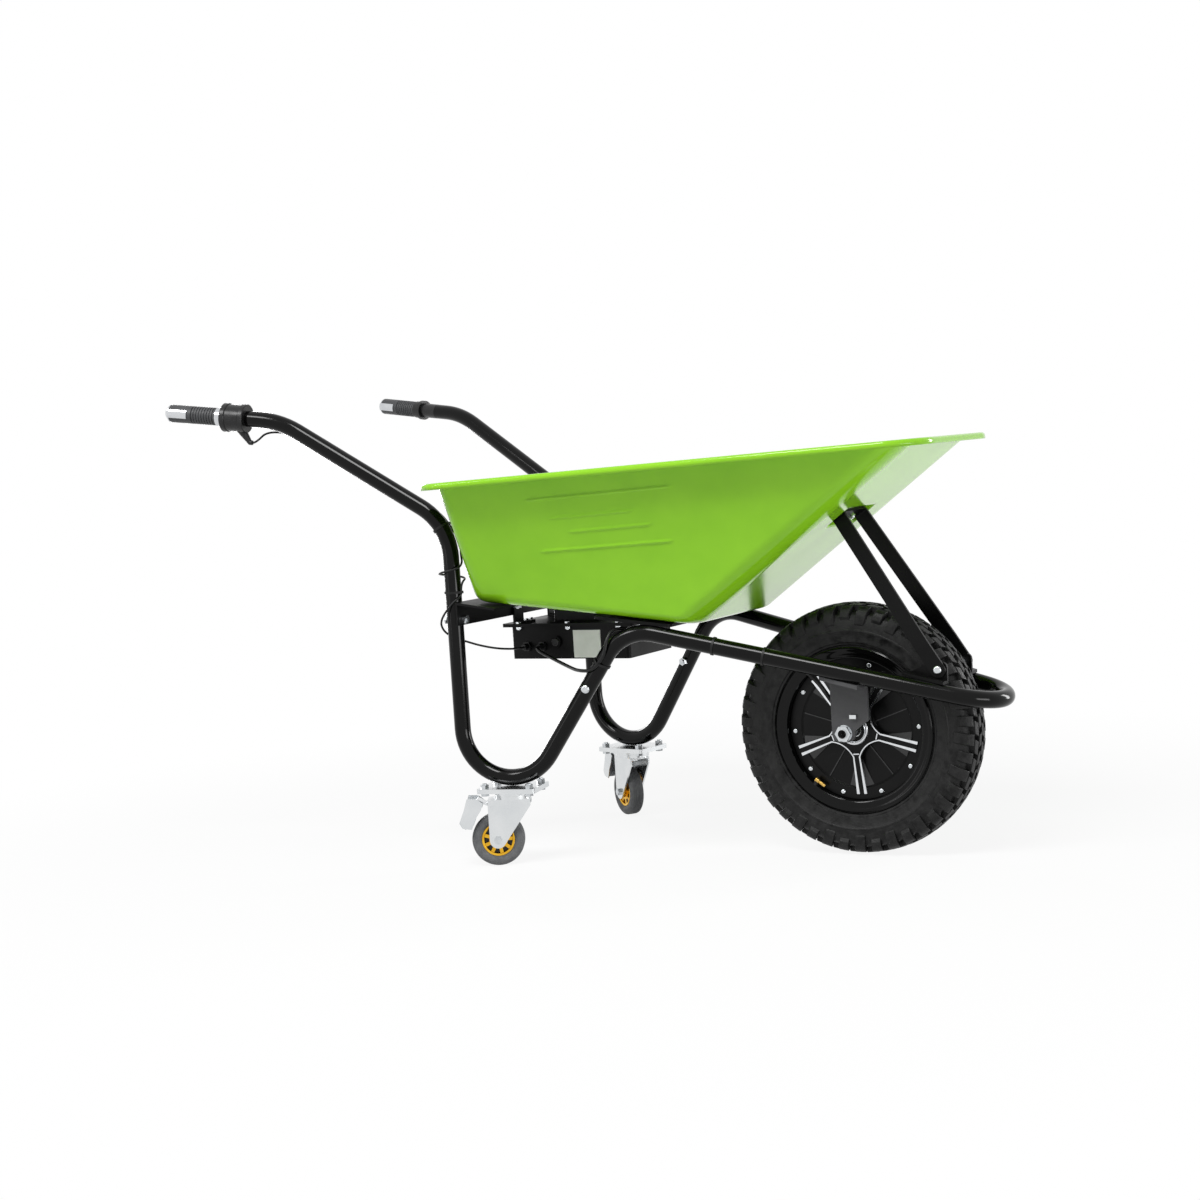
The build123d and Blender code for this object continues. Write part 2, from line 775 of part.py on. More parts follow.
half_t = BRACE_T / 2
splay_end = BRACE_REACH - BRACE_SET
brace_end = BRACE_REACH + BRACE_W / 2
half_brace = [
    (BRACE_TOP_Y + half_t, 0),
    (BRACE_END_Y + half_t, splay_end),
    (BRACE_END_Y + half_t, brace_end),
    (BRACE_END_Y - half_t, brace_end),
    (BRACE_END_Y - half_t, splay_end),
    (BRACE_TOP_Y - half_t, BRACE_T),
]
other_half = [(-y, reach) for y, reach in reversed(half_brace)]
brace_foot = brace_plane.from_local_coords((0, BRACE_REACH, 0))
with BuildPart() as front_brace:
    with BuildSketch(brace_plane):
        with BuildLine():
            Polyline(*half_brace, *other_half, close=True)
        make_face()
        fillet(vertices().sort_by(Axis.Y)[2:4], BRACE_BEND_R - BRACE_T)
        fillet(vertices().sort_by(Axis.Y)[:2], BRACE_BEND_R)
    extrude(amount=BRACE_W / 2, both=True)
    brace_ends = front_brace.edges().filter_by(Axis.Y).sort_by(Axis((0, 0, 0), brace_dir))[-4:]
    fillet(brace_ends, BRACE_W / 2 - BRACE_END_FLAT)
    bolt_hole(Plane(origin=brace_foot, z_dir=(0, 1, 0)), 2 * BRACE_END_Y)
    bolt_hole(seat_plane, POCKET_DEPTH)
save(front_brace.part, "front_brace")

tab_x = brace_foot.X - AXLE_X
tab_rear = tab_x - TAB_BACK_L
tab_front = tab_x + TAB_FRONT_L
tab_top = brace_foot.Z + TAB_ABOVE
tab_face = BRACE_END_Y - half_t - BOLT_GAP
with BuildPart() as brace_tab:
    with BuildSketch(side_view(TAB_T - tab_face)):
        with BuildLine():
            Polyline(
                (tab_rear, run_top(tab_rear)),
                (tab_front, run_top(tab_front)),
                (tab_front, tab_top),
                (tab_x - TAB_ABOVE, tab_top),
                close=True,
            )
        make_face()
        fillet(vertices().sort_by(Axis.Y)[-2:], TAB_ROUND)
    extrude(amount=TAB_T)
    with BuildSketch(side_view(TAB_T - tab_face)):
        with BuildLine():
            Polyline(
                (tab_rear, run_top(tab_rear)),
                (tab_front, run_top(tab_front)),
                (tab_front, run_top(tab_front) + TAB_T / cos(nose_tilt)),
                (tab_rear, run_top(tab_rear) + TAB_T / cos(nose_tilt)),
                close=True,
            )
        make_face()
    extrude(amount=TAB_FOOT_W)
    bolt_hole(Plane(origin=brace_foot, z_dir=(0, 1, 0)), 2 * BRACE_END_Y)
with BuildPart() as brace_tabs:
    add(brace_tab.part)
    mirror(brace_tab.part, about=Plane.XZ)
save(brace_tabs.part, "brace_tabs")

brace_fasteners = hex_bolt(
    Plane(origin=brace_seat - brace_dir * TRAY_T, z_dir=-brace_dir),
    TRAY_T + WELD_GAP + BRACE_T,
    dome=True,
)
for side in SIDES.values():
    spot = Vector(brace_foot.X, side * (BRACE_END_Y + half_t), brace_foot.Z)
    brace_fasteners += hex_bolt(Plane(origin=spot, z_dir=(0, side, 0)), BRACE_T + BOLT_GAP + TAB_T, dome=True)
with BuildPart() as brace_bolts:
    add(brace_fasteners)
save(brace_bolts.part, "brace_bolts")


# Axle plates and axle

with BuildPart() as axle_plate_right:
    with BuildSketch(side_view(-PLATE_Y)):
        with BuildLine():
            Polyline(
                (-PLATE_BACK, run_bottom(-PLATE_BACK)),
                (PLATE_FRONT, run_bottom(PLATE_FRONT)),
                (PLATE_FRONT, AXLE_Z + PLATE_TOE_TOP),
                (PLATE_TOE, AXLE_Z + PLATE_TOE_END),
                (PLATE_TOE, AXLE_Z - PLATE_BELOW),
                (-PLATE_BACK, AXLE_Z - PLATE_BELOW),
                close=True,
            )
        make_face()
        fillet(vertices().sort_by(Axis.Y)[:2], PLATE_CORNER_R)
        with Locations((TAB_SLOT_X, AXLE_Z + TAB_SLOT_Z)):
            Rectangle(TAB_SLOT_L, TAB_SLOT_H, mode=Mode.SUBTRACT)
        with Locations((0, AXLE_Z)):
            Circle(AXLE_R + BOLT_GAP, mode=Mode.SUBTRACT)
    extrude(amount=PLATE_T)
    with BuildSketch(side_view(-PLATE_Y)):
        with BuildLine():
            Polyline(
                (-PLATE_BACK, run_bottom(-PLATE_BACK)),
                (PLATE_FRONT, run_bottom(PLATE_FRONT)),
                (PLATE_FRONT, run_bottom(PLATE_FRONT) - PLATE_T / cos(nose_tilt)),
                (-PLATE_BACK, run_bottom(-PLATE_BACK) - PLATE_T / cos(nose_tilt)),
                close=True,
            )
        make_face()
    extrude(amount=PLATE_FLANGE)
save(axle_plate_right.part, "axle_plate_right")

with BuildPart() as axle_plate_left:
    mirror(axle_plate_right.part, about=Plane.XZ)
save(axle_plate_left.part, "axle_plate_left")

bearing_in = HUB_BOSS_Y - BOSS_LIP_T - BEARING_W
bearing_out = HUB_BOSS_Y - BOSS_LIP_T
washer_in = PLATE_Y - PLATE_GAP - WASHER_T
axle_half = PLATE_Y + PLATE_T + PLATE_GAP + NUT_H + AXLE_STANDOUT
wheel_centre = Vector(AXLE_X, 0, AXLE_Z)
wheel_axis = Axis(wheel_centre, (0, 1, 0))


def wheel_section(side=1):
    """Half section through the wheel: local x runs outwards along the axle, local y is the radius."""
    return Plane(origin=wheel_centre, x_dir=(0, side, 0), z_dir=(side, 0, 0))


def wheel_face(side, out):
    """Plane square to the axle at a distance from the middle, facing away from it; local y is up."""
    return Plane(origin=(AXLE_X, side * out, AXLE_Z), x_dir=(-side, 0, 0), z_dir=(0, side, 0))


with BuildPart() as axle:
    with BuildSketch(wheel_face(1, 0)):
        Circle(AXLE_R)
    extrude(amount=axle_half, both=True)
    with BuildSketch(wheel_face(1, 0)):
        Circle(AXLE_SHOULDER_R)
    extrude(amount=bearing_in - BEARING_SIDE_GAP, both=True)
save(axle.part, "axle")

with BuildPart() as axle_spacers:
    for side in SIDES.values():
        with BuildSketch(wheel_face(side, bearing_out + BEARING_SIDE_GAP)):
            Circle(SLEEVE_R)
            Circle(AXLE_R + NUT_GAP, mode=Mode.SUBTRACT)
        extrude(amount=washer_in - bearing_out - 2 * BEARING_SIDE_GAP)
        with BuildSketch(wheel_face(side, washer_in)):
            Circle(WASHER_R)
            with Locations((-side * TAB_SLOT_X, TAB_SLOT_Z)):
                Circle(TAB_SLOT_L / 2)
            make_hull()
            Circle(AXLE_R + NUT_GAP, mode=Mode.SUBTRACT)
        extrude(amount=WASHER_T)
        with BuildSketch(wheel_face(side, washer_in)):
            with Locations((-side * TAB_SLOT_X, TAB_SLOT_Z)):
                Rectangle(TAB_SLOT_L - 2 * PLATE_GAP, TAB_SLOT_H - 2 * PLATE_GAP)
        extrude(amount=WASHER_T + PLATE_GAP + PLATE_T + TAB_STANDOUT)
    lead_turn = radians(LEAD_ANGLE)
    with Locations(Plane(origin=(AXLE_X, -LEAD_Y, AXLE_Z), z_dir=(cos(lead_turn), 0, sin(lead_turn)))):
        Cylinder(
            MOTOR_CABLE_R + BOLT_GAP,
            2 * SLEEVE_R,
            align=(Align.CENTER, Align.CENTER, Align.MIN),
            mode=Mode.SUBTRACT,
        )
save(axle_spacers.part, "axle_spacers")

with BuildPart() as axle_nuts:
    for side in SIDES.values():
        with BuildSketch(wheel_face(side, PLATE_Y + PLATE_T)):
            Circle(WASHER_R)
            Circle(AXLE_R + NUT_GAP, mode=Mode.SUBTRACT)
        extrude(amount=NUT_FLANGE_T)
        with BuildSketch(wheel_face(side, PLATE_Y + PLATE_T + NUT_FLANGE_T)):
            RegularPolygon(NUT_AF / 2, 6, major_radius=False)
            Circle(AXLE_R + NUT_GAP, mode=Mode.SUBTRACT)
        extrude(amount=NUT_H - NUT_FLANGE_T)
save(axle_nuts.part, "axle_nuts")


# Drive wheel

barrel_r = BEAD_R - BARREL_WALL
cover_r = barrel_r - COVER_GAP
cover_in = COVER_FACE_Y - COVER_T
magnet_face = ROTOR_R - COVER_GAP - MAGNET_ROOM
stator_r = magnet_face - MAGNET_T - AIR_GAP
flange_in = RIM_HALF_WIDTH - RIM_FLANGE_T
screw_turn = WHEEL_TURN
spoke_turn = WHEEL_TURN + 1.5 * 360 / COVER_SCREWS
valve = radians(VALVE_ANGLE)
valve_place = Plane(
    origin=(AXLE_X + VALVE_IN_R * cos(valve), -VALVE_Y, AXLE_Z + VALVE_IN_R * sin(valve)),
    z_dir=(cos(valve), 0, sin(valve)),
)

cover_fasteners = []
for side in SIDES.values():
    for index in range(COVER_SCREWS):
        turn = radians(screw_turn + index * 360 / COVER_SCREWS)
        screw_x = AXLE_X + COVER_SCREW_R * cos(turn)
        screw_z = AXLE_Z + COVER_SCREW_R * sin(turn)
        place = Plane(origin=(screw_x, side * COVER_FACE_Y, screw_z), z_dir=(0, side, 0))
        cover_fasteners.append(screw(place, COVER_SCREW_L, COVER_SCREW_SHANK, dome=True))
with BuildPart() as cover_screws:
    add(cover_fasteners)
save(cover_screws.part, "cover_screws")

with BuildPart() as hub_shell:
    with BuildSketch(wheel_section()):
        with BuildLine():
            Polyline(
                (-RIM_HALF_WIDTH, barrel_r),
                (-cover_in, barrel_r),
                (-cover_in, ROTOR_R),
                (cover_in, ROTOR_R),
                (cover_in, barrel_r),
                (RIM_HALF_WIDTH, barrel_r),
                (RIM_HALF_WIDTH, RIM_FLANGE_R),
                (flange_in, RIM_FLANGE_R),
                (flange_in, BEAD_R),
                (-flange_in, BEAD_R),
                (-flange_in, RIM_FLANGE_R),
                (-RIM_HALF_WIDTH, RIM_FLANGE_R),
                close=True,
            )
        make_face()
    revolve(axis=wheel_axis)
    for side in SIDES.values():
        with Locations(wheel_face(side, cover_in)):
            with PolarLocations(COVER_SCREW_R, COVER_SCREWS, start_angle=screw_start(side)):
                Cylinder(COVER_SCREW_SHANK + BOLT_GAP, 2 * COVER_SCREW_L, mode=Mode.SUBTRACT)
    bolt_hole(valve_place, VALVE_L * 2, VALVE_R)
save(hub_shell.part, "hub_shell")


def cover_profile():
    """Half section of a hub cover: local x outwards from the middle, local y the radius."""
    return [
        (cover_in, cover_r),
        (COVER_FACE_Y, cover_r),
        (COVER_FACE_Y, BOSS_FOOT_R),
        (HUB_BOSS_Y, HUB_BOSS_R),
        (HUB_BOSS_Y, BOSS_HOLE_R),
        (bearing_out, BOSS_HOLE_R),
        (bearing_out, BEARING_R + NUT_GAP),
        (cover_in, BEARING_R + NUT_GAP),
    ]


def hub_cover(side):
    """One cover of the motor with its bearing seat; the side with the star has raised spokes."""
    with BuildPart() as cover:
        with BuildSketch(wheel_section(side)):
            with BuildLine():
                Polyline(*cover_profile(), close=True)
            make_face()
        revolve(axis=wheel_axis)
        with Locations(wheel_face(side, COVER_FACE_Y)):
            if side == SIDES["right"]:
                with PolarLocations((SPOKE_IN_R + SPOKE_OUT_R) / 2, SPOKES, start_angle=spoke_turn):
                    Box(SPOKE_OUT_R - SPOKE_IN_R, SPOKE_WIDTH, 2 * SPOKE_RISE)
            with PolarLocations(COVER_SCREW_R, COVER_SCREWS, start_angle=screw_start(side)):
                Cylinder(COVER_SCREW_SHANK + BOLT_GAP, 4 * COVER_T, mode=Mode.SUBTRACT)
    return cover.part


for name, side in SIDES.items():
    save(hub_cover(side), f"hub_cover_{name}")

with BuildPart() as wheel_bearings:
    for side in SIDES.values():
        with BuildSketch(wheel_face(side, bearing_in)):
            Circle(BEARING_R)
            Circle(AXLE_R + RUN_FIT, mode=Mode.SUBTRACT)
        extrude(amount=BEARING_W)
save(wheel_bearings.part, "wheel_bearings")

with BuildPart() as rotor_magnets:
    with Locations(wheel_face(1, 0)):
        with PolarLocations(magnet_face - MAGNET_T / 2, MAGNETS):
            Box(MAGNET_T, MAGNET_W, STATOR_WIDTH)
save(rotor_magnets.part, "rotor_magnets")

with BuildPart() as motor_stator:
    with BuildSketch(wheel_face(1, 0)):
        Circle(stator_r)
        Circle(AXLE_SHOULDER_R + NUT_GAP, mode=Mode.SUBTRACT)
        with PolarLocations(stator_r - SLOT_DEPTH / 2, STATOR_SLOTS):
            Rectangle(SLOT_DEPTH + 2 * AIR_GAP, SLOT_W, mode=Mode.SUBTRACT)
    extrude(amount=STATOR_WIDTH / 2, both=True)
save(motor_stator.part, "motor_stator")

tyre_r = TYRE_OD / 2
tyre_half = TYRE_WIDTH / 2
bead_out = flange_in - TYRE_FIT
bead_bottom = BEAD_R + TYRE_FIT
belt_r = tyre_r - TREAD_DEPTH
with BuildPart() as tyre:
    with BuildSketch(wheel_section()):
        with BuildLine():
            Line((-bead_out, bead_bottom), (-bead_out, RIM_FLANGE_R + BEAD_RISE))
            ThreePointArc(
                (-bead_out, RIM_FLANGE_R + BEAD_RISE), (-tyre_half, SIDEWALL_R), (-SHOULDER_Y, belt_r)
            )
            ThreePointArc((-SHOULDER_Y, belt_r), (0, tyre_r), (SHOULDER_Y, belt_r))
            ThreePointArc((SHOULDER_Y, belt_r), (tyre_half, SIDEWALL_R), (bead_out, RIM_FLANGE_R + BEAD_RISE))
            Line((bead_out, RIM_FLANGE_R + BEAD_RISE), (bead_out, bead_bottom))
            Line((bead_out, bead_bottom), (-bead_out, bead_bottom))
        make_face()
        with BuildLine():
            Line((-BEAD_IN_Y, bead_bottom), (-BEAD_IN_Y, RIM_FLANGE_R))
            ThreePointArc(
                (-BEAD_IN_Y, RIM_FLANGE_R),
                (TYRE_WALL - tyre_half, SIDEWALL_R),
                (-INNER_SHOULDER_Y, belt_r - 2 * TYRE_WALL),
            )
            ThreePointArc(
                (-INNER_SHOULDER_Y, belt_r - 2 * TYRE_WALL),
                (0, belt_r - TYRE_WALL),
                (INNER_SHOULDER_Y, belt_r - 2 * TYRE_WALL),
            )
            ThreePointArc(
                (INNER_SHOULDER_Y, belt_r - 2 * TYRE_WALL),
                (tyre_half - TYRE_WALL, SIDEWALL_R),
                (BEAD_IN_Y, RIM_FLANGE_R),
            )
            Line((BEAD_IN_Y, RIM_FLANGE_R), (BEAD_IN_Y, bead_bottom))
            Line((BEAD_IN_Y, bead_bottom), (-BEAD_IN_Y, bead_bottom))
        make_face(mode=Mode.SUBTRACT)
    revolve(axis=wheel_axis)
    for side in SIDES.values():
        with Locations(wheel_face(side, tyre_half - LUG_LENGTH / 2)):
            with PolarLocations(tyre_r, TREAD_LUGS, start_angle=side * 90 / TREAD_LUGS):
                Box(2 * LUG_DEPTH, LUG_GAP, LUG_LENGTH, mode=Mode.SUBTRACT)
save(tyre.part, "tyre")

with BuildPart() as valve_stem:
    with BuildSketch(valve_place):
        Circle(VALVE_R)
    extrude(amount=VALVE_L)
    chamfer(valve_stem.edges().sort_by_distance(wheel_centre)[0], VALVE_R / 4)
save(valve_stem.part, "valve_stem")


# Battery box under the tray

box_x = AXLE_X - BOX_REAR_BACK + BOX_L / 2
box_floor = BOX_TOP_Z - BOX_H
lid_top = BOX_TOP_Z + LID_T
lid_l = BOX_L + 2 * LIP_END
lid_w = BOX_W + 2 * LIP
near_face = -BOX_W / 2


def near_plane(back, height, out=0):
    """Plane on the box's near face at a distance behind the axle, facing the user's right."""
    return Plane(origin=(AXLE_X - back, near_face - out, height), x_dir=(1, 0, 0), z_dir=(0, -1, 0))


screw_columns = (-LID_SCREW_PITCH, 0, LID_SCREW_PITCH)
long_spots = [(x, side * (BOX_W + LIP) / 2) for x in screw_columns for side in SIDES.values()]
end_spots = [(-(BOX_L + LIP_END) / 2, 0), ((BOX_L + LIP_END) / 2, 0)]
lip_spots = [(box_x + x, y) for x, y in long_spots + end_spots]
hanger_x = crossbar_x + CROSSBAR_T
hanger_spots = [(hanger_x + HANGER_FOOT - HANGER_W / 3, side * HANGER_Y) for side in SIDES.values()]
spacer_spots = [(box_x + (BOX_L + LIP_END) / 2, side * HANGER_Y) for side in SIDES.values()]

with BuildPart() as battery_box:
    with BuildSketch(Plane.XY.offset(box_floor)):
        with Locations((box_x, 0)):
            RectangleRounded(BOX_L, BOX_W, BOX_CORNER_R)
    extrude(amount=BOX_H)
    with BuildSketch(Plane.XY.offset(BOX_TOP_Z)):
        with Locations((box_x, 0)):
            RectangleRounded(lid_l, lid_w, BOX_CORNER_R)
    extrude(amount=-LIP_T)
    with BuildSketch(near_plane(BUTTON_BACK, BUTTON_Z)):
        Circle(BUTTON_R + BEZEL_W)
    extrude(amount=BEZEL_L)
    with BuildSketch(Plane.XY.offset(BOX_TOP_Z)):
        with Locations((box_x, 0)):
            RectangleRounded(BOX_L - 2 * BOX_WALL, BOX_W - 2 * BOX_WALL, BOX_CORNER_R - BOX_WALL)
    extrude(amount=BOX_WALL - BOX_H, mode=Mode.SUBTRACT)
    with Locations(near_plane(BUTTON_BACK, BUTTON_Z)):
        Cylinder(BUTTON_R + RUN_FIT, 4 * BEZEL_L, mode=Mode.SUBTRACT)
    for spot in lip_spots + spacer_spots:
        bolt_hole(Plane(origin=(*spot, BOX_TOP_Z)), LIP_T + LID_T, LID_SCREW_R)
save(battery_box.part, "battery_box")

with BuildPart() as battery_lid:
    with BuildSketch(Plane.XY.offset(BOX_TOP_Z)):
        with Locations((box_x, 0)):
            RectangleRounded(lid_l, lid_w, BOX_CORNER_R)
    extrude(amount=LID_T)
    for spot in lip_spots + spacer_spots + hanger_spots:
        bolt_hole(Plane(origin=(*spot, BOX_TOP_Z)), LIP_T + LID_T, LID_SCREW_R)
save(battery_lid.part, "battery_lid")

with BuildPart() as battery_pack:
    with BuildSketch(Plane.XY.offset(box_floor + BOX_WALL)):
        with Locations((box_x, 0)):
            RectangleRounded(BOX_L - 2 * (BOX_WALL + PACK_GAP), BOX_W - 2 * (BOX_WALL + PACK_GAP), PACK_ROUND)
    extrude(amount=PACK_H)
save(battery_pack.part, "battery_pack")

with BuildPart() as controller:
    with BuildSketch(Plane.XY.offset(lid_top)):
        with Locations((AXLE_X - CONTROLLER_BACK, 0)):
            RectangleRounded(CONTROLLER_L, CONTROLLER_W, BOX_CORNER_R)
    extrude(amount=CONTROLLER_H)
    with BuildSketch(Plane.XY.offset(lid_top + CONTROLLER_H)):
        with Locations((AXLE_X - CONTROLLER_BACK, 0)):
            with GridLocations(0, FIN_PITCH, 1, FIN_SLOTS):
                Rectangle(2 * CONTROLLER_L, FIN_PITCH - FIN_T)
    extrude(amount=-FIN_H, mode=Mode.SUBTRACT)
save(controller.part, "controller")

with BuildPart() as cable_glands:
    for back in GLAND_BACK:
        with BuildSketch(near_plane(back, GLAND_Z)):
            RegularPolygon(GLAND_R, 6)
        extrude(amount=GLAND_L / 3)
        with BuildSketch(near_plane(back, GLAND_Z, GLAND_L / 3)):
            Circle(GLAND_R * 0.7)
        extrude(amount=GLAND_L * 2 / 3, taper=GLAND_TAPER)
save(cable_glands.part, "cable_glands")

with BuildPart() as blank_plate:
    with BuildSketch(near_plane(BOX_REAR_BACK - BOX_L / 2 - BLANK_PLATE_AHEAD, BLANK_PLATE_Z)):
        Rectangle(BLANK_PLATE_L, BLANK_PLATE_H)
    extrude(amount=BLANK_PLATE_T)
save(blank_plate.part, "blank_plate")

with BuildPart() as power_button:
    with BuildSketch(near_plane(BUTTON_BACK, BUTTON_Z, -BOX_WALL - COVER_GAP)):
        Circle(BUTTON_R)
    extrude(amount=BOX_WALL + COVER_GAP + BEZEL_L + BUTTON_TRAVEL)
    fillet(power_button.edges().sort_by(Axis.Y)[0], BUTTON_ROUND)
    with BuildSketch(near_plane(BUTTON_BACK, BUTTON_Z, -BOX_WALL - COVER_GAP)):
        Circle(BUTTON_R + BUTTON_ROUND)
    extrude(amount=-BUTTON_ROUND)
save(power_button.part, "power_button")

with BuildPart() as box_hangers:
    for side in SIDES.values():
        with BuildSketch(Plane.XZ.offset(-side * HANGER_Y)):
            with BuildLine():
                Polyline(
                    (hanger_x, lid_top),
                    (hanger_x + HANGER_FOOT, lid_top),
                    (hanger_x + HANGER_FOOT, lid_top + HANGER_T),
                    (hanger_x + HANGER_T, lid_top + HANGER_T),
                    (hanger_x + HANGER_T, crossbar_top - HANGER_DROP),
                    (hanger_x, crossbar_top - HANGER_DROP),
                    close=True,
                )
            make_face()
        extrude(amount=HANGER_W / 2, both=True)
    for x, y in spacer_spots:
        with BuildSketch(Plane.XY.offset(lid_top)):
            with Locations((x, y)):
                Circle(SPACER_R)
        extrude(amount=BOX_H)
    with BuildSketch(support_plane):
        Rectangle(2 * BOX_REAR_BACK, BOX_W)
    extrude(amount=2 * BOX_H, mode=Mode.SUBTRACT)
    for spot in spacer_spots:
        bolt_hole(Plane(origin=(*spot, lid_top)), SPACER_BOLT_L, LID_SCREW_R)
    for spot in hanger_spots:
        bolt_hole(Plane(origin=(*spot, lid_top)), 2 * HANGER_T, LID_SCREW_R)
save(box_hangers.part, "box_hangers")

lid_fasteners = []
for spot in lip_spots:
    lid_fasteners += hex_bolt(Plane(origin=(*spot, lid_top)), LID_T + LIP_T, LID_SCREW_R)
for spot in hanger_spots:
    lid_fasteners += hex_bolt(Plane(origin=(*spot, lid_top + HANGER_T)), LID_T + HANGER_T, LID_SCREW_R)
for x, y in spacer_spots:
    below = Plane(origin=(x, y, BOX_TOP_Z - LIP_T), x_dir=(1, 0, 0), z_dir=(0, 0, -1))
    lid_fasteners.append(screw(below, LIP_T + LID_T + SPACER_BOLT_L - 1, LID_SCREW_R))
with BuildPart() as lid_screws:
    add(lid_fasteners)
save(lid_screws.part, "lid_screws")


# Handles: the right one twists, the left one is the same outside

handle_forward = (handle_point(-1, 1) - handle_point(-1, 0)).normalized()
handle_axis = Axis(handle_point(-1, 0), handle_forward)
handle_section = Plane(
    origin=handle_point(-1, 0), x_dir=handle_forward, z_dir=handle_forward.cross(Vector(0, 0, 1)).normalized()
)
ring_start = GRIP_END + HOUSING_GAP
housing_start = ring_start + RING_L + HOUSING_GAP
housing_end = housing_start + HOUSING_L
grip_bore = BAR_R + GRIP_FIT

with BuildPart() as throttle_grip:
    with BuildSketch(handle_section):
        with Locations((CAP_L, grip_bore)):
            Rectangle(GRIP_END - CAP_L, GRIP_R - grip_bore, align=Align.MIN)
        for index in range(GRIP_RIBS):
            with Locations((GRIP_END - GRIP_RIB_INSET - index * GRIP_RIB_PITCH, GRIP_R)):
                Rectangle(
                    GRIP_RIB_PITCH / 2, 2 * GRIP_RIB, align=(Align.MAX, Align.CENTER), mode=Mode.SUBTRACT
                )
    revolve(axis=handle_axis)
save(throttle_grip.part, "throttle_grip")

with BuildPart() as throttle_cap:
    with BuildSketch(handle_section):
        with BuildLine():
            Polyline(
                (0, 0), (0, GRIP_R - CAP_ROUND), (CAP_ROUND, GRIP_R), (CAP_L, GRIP_R), (CAP_L, grip_bore),
                (CAP_FLOOR, grip_bore), (CAP_FLOOR, 0), close=True,
            )
        make_face()
    revolve(axis=handle_axis)
    for turn in (0, 180):
        with BuildSketch(handle_plane(-1, CAP_L)):
            Circle(GRIP_R + WING_T)
            Circle(GRIP_R + NUT_GAP, mode=Mode.SUBTRACT)
            with BuildSketch(mode=Mode.PRIVATE) as wedge:
                reach = 2 * GRIP_R
                half = radians(WING_ANGLE / 2)
                with BuildLine():
                    Polyline(
                        (0, 0),
                        (reach * cos(half), reach * sin(half)),
                        (reach * cos(half), -reach * sin(half)),
                        close=True,
                    )
                make_face()
            add(Rot(0, 0, turn) * wedge.sketch, mode=Mode.INTERSECT)
        extrude(amount=-WING_L)
        with BuildSketch(handle_plane(-1, CAP_L)):
            Circle(GRIP_R + WING_T)
            Circle(GRIP_R - WING_T, mode=Mode.SUBTRACT)
            add(Rot(0, 0, turn) * wedge.sketch, mode=Mode.INTERSECT)
        extrude(amount=WING_T)
save(throttle_cap.part, "throttle_cap")

with BuildPart() as throttle_ring:
    with BuildSketch(handle_section):
        with Locations((ring_start, grip_bore)):
            Rectangle(RING_L, RING_R - grip_bore, align=Align.MIN)
    revolve(axis=handle_axis)
save(throttle_ring.part, "throttle_ring")

boot_turn = radians(BOOT_ANGLE)
boot_dir = (handle_forward * cos(boot_turn) - handle_section.y_dir * sin(boot_turn)).normalized()
boot_root = handle_section.from_local_coords((housing_end - BOOT_INSET, -BOOT_DROP, 0))
boot_plane = Plane(origin=boot_root, z_dir=boot_dir)
boot_tip = boot_root + boot_dir * BOOT_L
nozzle_end = boot_tip + handle_forward * NOZZLE_L
with BuildPart() as throttle_housing:
    with BuildSketch(handle_section):
        with Locations((housing_start, BAR_R + NUT_GAP)):
            Rectangle(HOUSING_L, HOUSING_R - BAR_R - NUT_GAP, align=Align.MIN)
        with Locations((housing_start + HOUSING_WALL_END, BAR_R + NUT_GAP)):
            Rectangle(SPRING_ROOM_L, SPRING_ROOM_H, align=Align.MIN, mode=Mode.SUBTRACT)
    revolve(axis=handle_axis)
    fillet(throttle_housing.edges().filter_by(GeomType.CIRCLE).sort_by(SortBy.RADIUS)[-2:], HOUSING_ROUND)
    with BuildSketch(boot_plane):
        Circle(BOOT_R)
    with BuildSketch(boot_plane.offset(BOOT_L)):
        Circle(BOOT_TIP_R)
    loft()
    with Locations(boot_tip):
        Sphere(BOOT_TIP_R)
    with BuildSketch(Plane(origin=boot_tip, z_dir=handle_forward)):
        Circle(BOOT_TIP_R)
    extrude(amount=NOZZLE_L)
save(throttle_housing.part, "throttle_housing")

room_middle = housing_start + HOUSING_WALL_END + SPRING_ROOM_L / 2
with BuildPart() as throttle_spring:
    with BuildSketch(handle_section):
        for index in range(SPRING_TURNS):
            spot = room_middle + (index - SPRING_TURNS / 2 + 0.5) * SPRING_PITCH
            with Locations((spot, BAR_R + SPRING_GAP + SPRING_WIRE_R)):
                Circle(SPRING_WIRE_R)
    revolve(axis=handle_axis)
save(throttle_spring.part, "throttle_spring")

with BuildPart() as left_grip:
    mirror(throttle_grip.part, about=Plane.XZ)
save(left_grip.part, "left_grip")

with BuildPart() as left_grip_cap:
    mirror(throttle_cap.part, about=Plane.XZ)
save(left_grip_cap.part, "left_grip_cap")

with BuildPart() as right_collar:
    with BuildSketch(handle_section):
        with Locations((housing_start, grip_bore)):
            Rectangle(bar_step - housing_start - HOUSING_GAP, TUBE_R - grip_bore, align=Align.MIN)
            Rectangle(COLLAR_L, COLLAR_R - grip_bore, align=Align.MIN)
    revolve(axis=handle_axis)
with BuildPart() as left_grip_collar:
    mirror(throttle_ring.part, about=Plane.XZ)
    mirror(right_collar.part, about=Plane.XZ)
save(left_grip_collar.part, "left_grip_collar")


# Casters, each built about its own swivel axis with the wheel trailing along -X

race_top = CASTER_H - CASTER_PLATE_T
fork_top = race_top - RACE_T - RACE_GAP
crown_top = fork_top - RACE_T
crown_bottom = crown_top - FORK_T
caster_r = CASTER_OD / 2
caster_centre = (-CASTER_TRAIL, 0, caster_r)
caster_axis = Axis(caster_centre, (0, 1, 0))
half_fork = FORK_INSIDE / 2
fork_w = FORK_INSIDE + 2 * FORK_T


